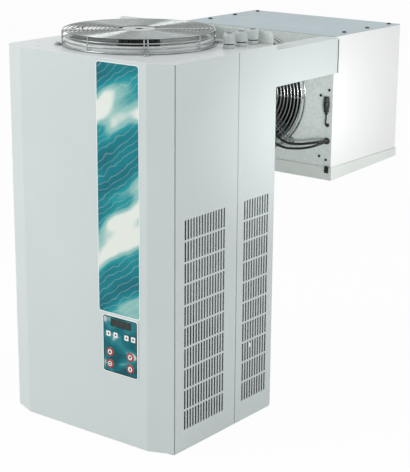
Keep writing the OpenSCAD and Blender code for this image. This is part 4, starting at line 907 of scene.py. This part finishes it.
def cable_gland(node):
    """One gland, turned from its pieces' profiles, with heights from the top panel's upper face."""
    place = (*middle(node)[:2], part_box("top_panel")[1][2])
    bore = GLAND_BORE
    base = creased(np.array([
        (bore, 0), (11.4 * MM, 0), (12 * MM, 0.5 * MM), (12 * MM, HEX_H - 1 * MM), (11 * MM, HEX_H),
        (bore, HEX_H), (bore, 0),
    ]), 0.1 * MM)[:-1]
    seal = np.array([
        (bore, HEX_H), (9.4 * MM, HEX_H), (9.8 * MM, HEX_H + SEAL_H / 2), (9.4 * MM, HEX_H + SEAL_H),
        (bore, HEX_H + SEAL_H),
    ])
    z0 = HEX_H + SEAL_H
    wall = np.linspace(z0 + 1.2 * MM, CAP_TOP - MM, 15)
    crown = np.linspace(0, np.pi / 2, 8)
    inner = bore + 1.2 * MM
    outer = np.concatenate([
        [(bore + 2.2 * MM, z0), (11.0 * MM, z0), (11.4 * MM, z0 + 0.4 * MM)],
        np.stack([np.full(15, 11.5 * MM), wall], -1),
        np.stack([
            bore + 2.2 * MM + 3.3 * MM * np.cos(crown), CAP_TOP - MM + 5.6 * MM * np.sin(crown),
        ], -1),
        [(bore + 1.4 * MM, GLAND_TOP - 0.6 * MM), (inner, GLAND_TOP - 3 * MM), (inner, z0)],
    ])
    insert = np.array([
        (bore, GLAND_TOP - 1.6 * MM), (inner, GLAND_TOP - 1.2 * MM), (inner, GLAND_TOP - 6 * MM),
        (bore, GLAND_TOP - 6 * MM),
    ])
    under = creased(np.array([
        (bore, 0), (8 * MM, 0), (8 * MM, -1.5 * MM), (12 * MM, -1.5 * MM), (12 * MM, -6.2 * MM),
        (8 * MM, -6.2 * MM), (8 * MM, -7.2 * MM), (bore, -7.2 * MM), (bore, 0),
    ]), 0.1 * MM)[:-1]
    built(node + "_body", [
        (grey_nylon, [
            revolved(base, place, "z", 72, radius=hexagon, loop=True),
            revolved(outer, place, "z", 144, radius=ribbed, loop=True),
            revolved(under, place, "z", 72, radius=hexagon, loop=True),
        ]),
        (black_rubber, [
            revolved(seal, place, "z", 48, loop=True), revolved(insert, place, "z", 48, loop=True),
        ]),
    ], replaces=[node])


for number in (1, 2, 3):
    cable_gland(f"cable_gland_{number}")


# Screws with a cross recess

EAR_HEAD = 4.6 * MM
EAR_HEAD_H = 2.6 * MM
LID_HEAD = 4.6 * MM
LID_SHARES = np.array([0.0, 0.507, 1.0])


def screw_head(place, axis, r, h, deep):
    """A pan head: its height falls with the cube of the radius, less a cross-shaped recess; deep
    carries its shank on under it."""
    rings = np.array([0, 0.12, 0.22, 0.3, 0.38, 0.46, 0.54, 0.62, 0.72, 0.84, 0.94, 1.0]) * r
    top = h * (1 - 0.35 * (rings / r) ** 3)
    shank = r * 0.45
    profile = np.concatenate([
        np.stack([rings, top], -1),
        [(r, h * 0.25), (r * 0.97, 0.0), (shank, 0.0), (shank, -deep), (0, -deep)],
    ])

    def recess(across, height, turns):
        x, y = np.abs(across * np.cos(turns)), np.abs(across * np.sin(turns))
        slot = (np.minimum(x, y) < 0.13 * r) & (np.maximum(x, y) < 0.6 * r) & (height > 0.5 * h)
        return height - np.where(slot, 0.45 * h, 0.0)

    return revolved(profile, place, axis, 48, rise=recess)


def ear_places():
    """The guard's four screws, one in each ear."""
    low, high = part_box("guard_screws")
    x, y = (low[0] + high[0]) / 2, (low[1] + high[1]) / 2
    reach = (high[0] - low[0]) / 2 - EAR_HEAD
    z = high[2] - EAR_HEAD_H
    return [(x + sx * reach, y + sy * reach, z) for sx in (-1, 1) for sy in (-1, 1)]


built("guard_screw_heads", [(screw_metal, [
    screw_head(p, "z", EAR_HEAD, EAR_HEAD_H, 8 * MM) for p in ear_places()
])], replaces=["guard_screws"])


def lid_places():
    """Three screws along each side of the evaporator's lid."""
    low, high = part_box("lid_screws")
    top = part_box("evaporator_lid")[1][2]
    r = LID_HEAD
    along = low[1] + r + LID_SHARES * (high[1] - low[1] - 2 * r)
    return [(x, y, top) for x in (low[0] + r, high[0] - r) for y in along]


built("lid_screw_heads", [(dark_metal, [
    screw_head(p, "z", LID_HEAD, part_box("lid_screws")[1][2] - p[2], 3 * MM) for p in lid_places()
])], replaces=["lid_screws"])


# Small fixings at the evaporator: wall screws, the joint between bridge and evaporator

EVAP_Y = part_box("evaporator_front_wall")[0][1]
SIDE_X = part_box("evaporator_right_side")[1][0]
WALL_SCREWS = np.array([(162.8, 603), (183, 616), (162.8, 476), (179, 470)]) * MM
JOINT_HEIGHTS = np.array([661, 714]) * MM
fixings = [screw_head((x, EVAP_Y, z), "-y", 2.9 * MM, 1.6 * MM, 3 * MM) for x, z in WALL_SCREWS]
fixings += [
    screw_head((SIDE_X, EVAP_Y + 8 * MM, z), "x", 3.0 * MM, 1.5 * MM, 1 * MM) for z in JOINT_HEIGHTS
]
built("joint_screws", [(dark_metal, fixings)])

# Rubber edging that closes the joint between the cheeks' ends and the evaporator, drawn black: also painted
# shade for the dark gap at that joint
JOINT_LOW, JOINT_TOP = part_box("bridge_floor")[0][2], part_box("right_trough_wall")[1][2] - 2 * MM
GASKET = 2.4 * MM
cheek_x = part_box("right_rear_panel")[1][0] - 0.4 * MM
built("joint_gaskets_and_gap_shade", [(black_rubber, [
    blocks([SIDE_X, EVAP_Y, JOINT_LOW], [cheek_x, EVAP_Y + GASKET, JOINT_TOP]),
    blocks([-cheek_x, EVAP_Y, JOINT_LOW], [-SIDE_X, EVAP_Y + GASKET, JOINT_TOP]),
])], smooth=False)


# Grommet and probe gland at the evaporator's wall

PROBE_GLAND_Z = 571 * MM
PROBE_BUSH_Z = 543 * MM


def grommet():
    """A round rubber bush: a rolled lip on the wall and a sleeve through it."""
    lip = np.array([
        (0, 6.0), (1.2, 6.0), (4.4, 5.9), (5.6, 5.4), (6.3, 4.4), (6.6, 3.2), (6.9, 2.4), (7.0, 1.4),
        (6.9, 0.4), (6.6, 0.0), (5.4, 0.0), (5.4, -2.4), (0, -2.4),
    ]) * MM
    return [revolved(lip, (GROMMET_X * MM, EVAP_Y, GROMMET_Z * MM), "-y", 48)]


def probe_gland():
    """A slim gland turned about the upright: ribbed cap above, body, and a cone down to the lead;
    below it the bush that the lead goes back into."""
    x, y, z = GROMMET_X * MM, EVAP_Y - 6.5 * MM, PROBE_GLAND_Z
    body = creased(np.array([
        (0, -5.5), (2.2, -5.5), (3.3, -3.5), (3.6, 0), (5.4, 0.6), (5.5, 9.5), (6.4, 10.2),
        (6.4, 20.6), (5.5, 21.4), (5.3, 31.0), (4.2, 32.0), (0, 32.0),
    ]) * MM, 0.15 * MM)

    def knurl(r, h, turns):
        return r - ((h > 11 * MM) & (h < 20 * MM)) * 0.5 * MM * (0.5 - 0.5 * np.cos(14 * turns))

    strap = blocks([x - 2.75 * MM, y, z + 22.4 * MM], [x + 2.75 * MM, EVAP_Y, z + 28.8 * MM])
    bush = np.array([(0, 3.2), (2.4, 3.2), (3.4, 2.6), (4.0, 1.2), (4.0, 0), (0, 0)]) * MM
    return [
        revolved(body, (x, y, z), "z", 56, radius=knurl), strap,
        revolved(bush, (x, EVAP_Y, PROBE_BUSH_Z), "-y", 32),
    ]


built("wall_grommet", [(black_rubber, grommet())], replaces=["cable_grommet"])
built("probe_gland_body", [(black_nylon, probe_gland())], replaces=["probe_gland"])


# Camera at the photograph's viewpoint, worked out from the body's corners

CAMERA_PLACE = (1.71603, -2.26766, 1.11241)
CAMERA_YAW = 0.65439
CAMERA_PITCH = 0.27637
CAMERA_ROLL = 0.00774
FOCAL_PIXELS = 1411.26
FRAME_LONG_SIDE = 472
SENSOR = 36.0


def make_camera():
    """Looks along yaw, then down by pitch, and leans by roll."""
    sy, cy = math.sin(CAMERA_YAW), math.cos(CAMERA_YAW)
    sp, cp = math.sin(CAMERA_PITCH), math.cos(CAMERA_PITCH)
    forward = np.array([-sy * cp, cy * cp, -sp])
    right = np.array([cy, sy, 0.0])
    up = np.cross(right, forward)
    sr, cr = math.sin(CAMERA_ROLL), math.cos(CAMERA_ROLL)
    right, up = right * cr + up * sr, up * cr - right * sr
    data = bpy.data.cameras.new("camera")
    data.sensor_width = SENSOR
    data.lens = FOCAL_PIXELS / FRAME_LONG_SIDE * SENSOR
    data.clip_end = 50.0
    made = bpy.data.objects.new("camera", data)
    matrix = np.eye(4)
    matrix[:3, 0], matrix[:3, 1], matrix[:3, 2], matrix[:3, 3] = right, up, -forward, CAMERA_PLACE
    made.matrix_world = Matrix(matrix.tolist())
    bpy.context.scene.collection.objects.link(made)
    bpy.context.scene.camera = made


make_camera()


# Floor, world and lamps

def make_floor():
    """A wide pale floor that keeps the shadow and shows white to the camera."""
    half, level = 30.0, cad_low[2] - 0.5 * MM
    corners = [(x, y, level) for y in (-half, half) for x in (-half, half)]
    mesh = bpy.data.meshes.new("floor")
    mesh.from_pydata(corners, [], [(1, 3, 2, 0)])
    made = bpy.data.objects.new("floor", mesh)
    finish, tree, shader = started("matt_white_floor", 0.9)[:3]
    shader.inputs["Base Color"].default_value = linear("#f2f2f2")
    rays = add(tree, "LightPath").outputs
    seen = math_node(tree, "ADD", rays["Is Camera Ray"], rays["Is Glossy Ray"], clamp=True)
    seen = math_node(tree, "ADD", seen, rays["Is Transmission Ray"], clamp=True)
    white = add(tree, "Emission", {"Color": linear("#ffffff"), "Strength": 1.0})
    blend = add(tree, "MixShader", {
        0: math_node(tree, "MULTIPLY", seen, 0.96), 1: shader.outputs[0], 2: white.outputs[0],
    })
    tree.links.new(blend.outputs[0], tree.nodes["Material Output"].inputs["Surface"])
    mesh.materials.append(finish)
    bpy.context.scene.collection.objects.link(made)


def make_world():
    """An even pale sky, white where the camera or a mirror looks at it."""
    world = bpy.data.worlds.new("studio")
    bpy.context.scene.world = world
    world.use_nodes = True
    tree = world.node_tree
    rays = add(tree, "LightPath").outputs
    seen = math_node(tree, "ADD", rays["Is Camera Ray"], rays["Is Glossy Ray"], clamp=True)
    seen = math_node(tree, "ADD", seen, rays["Is Transmission Ray"], clamp=True)
    plain = add(tree, "Background", {"Color": linear("#eef1f3"), "Strength": 0.48})
    white = add(tree, "Background", {"Color": linear("#ffffff"), "Strength": 1.0})
    blend = add(tree, "MixShader", {0: seen, 1: plain.outputs[0], 2: white.outputs[0]})
    tree.links.new(blend.outputs[0], tree.nodes["World Output"].inputs["Surface"])


def lamp(name, place, target, size, power, cone=None):
    """A square softbox at place, aimed at target; with a cone in radians, a soft-edged spot."""
    data = bpy.data.lights.new(name, "SPOT" if cone else "AREA")
    data.energy = power
    if cone:
        data.spot_size, data.spot_blend, data.shadow_soft_size = cone, 0.8, size / 2
    else:
        data.size = size
    made = bpy.data.objects.new(name, data)
    toward = np.array(target) - np.array(place)
    back = -toward / np.linalg.norm(toward)
    right = np.cross([0.0, 0.0, 1.0], back)
    right /= np.linalg.norm(right)
    up = np.cross(back, right)
    matrix = np.eye(4)
    matrix[:3, 0], matrix[:3, 1], matrix[:3, 2], matrix[:3, 3] = right, up, back, place
    made.matrix_world = Matrix(matrix.tolist())
    bpy.context.scene.collection.objects.link(made)


make_floor()
make_world()
lamp("front_softbox", (-1.6, -2.6, 1.9), (0.0, -0.2, 0.4), 1.8, 50.0)
lamp("side_softbox", (1.8, 0.9, 1.0), (0.0, 0.2, 0.55), 1.2, 7.5)
lamp("fill_softbox", (2.1, -0.95, 0.75), (0.15, 0.15, 0.55), 0.9, 6.0)
lamp("gap_spot", (1.45, -1.25, 0.55), (0.1, 0.144, 0.585), 0.3, 120.0, math.radians(11.5))
lamp("top_softbox", (0.3, 0.4, 2.6), (0.0, 0.0, 0.6), 1.6, 7.0)

bpy.context.scene.view_settings.view_transform = "Standard"
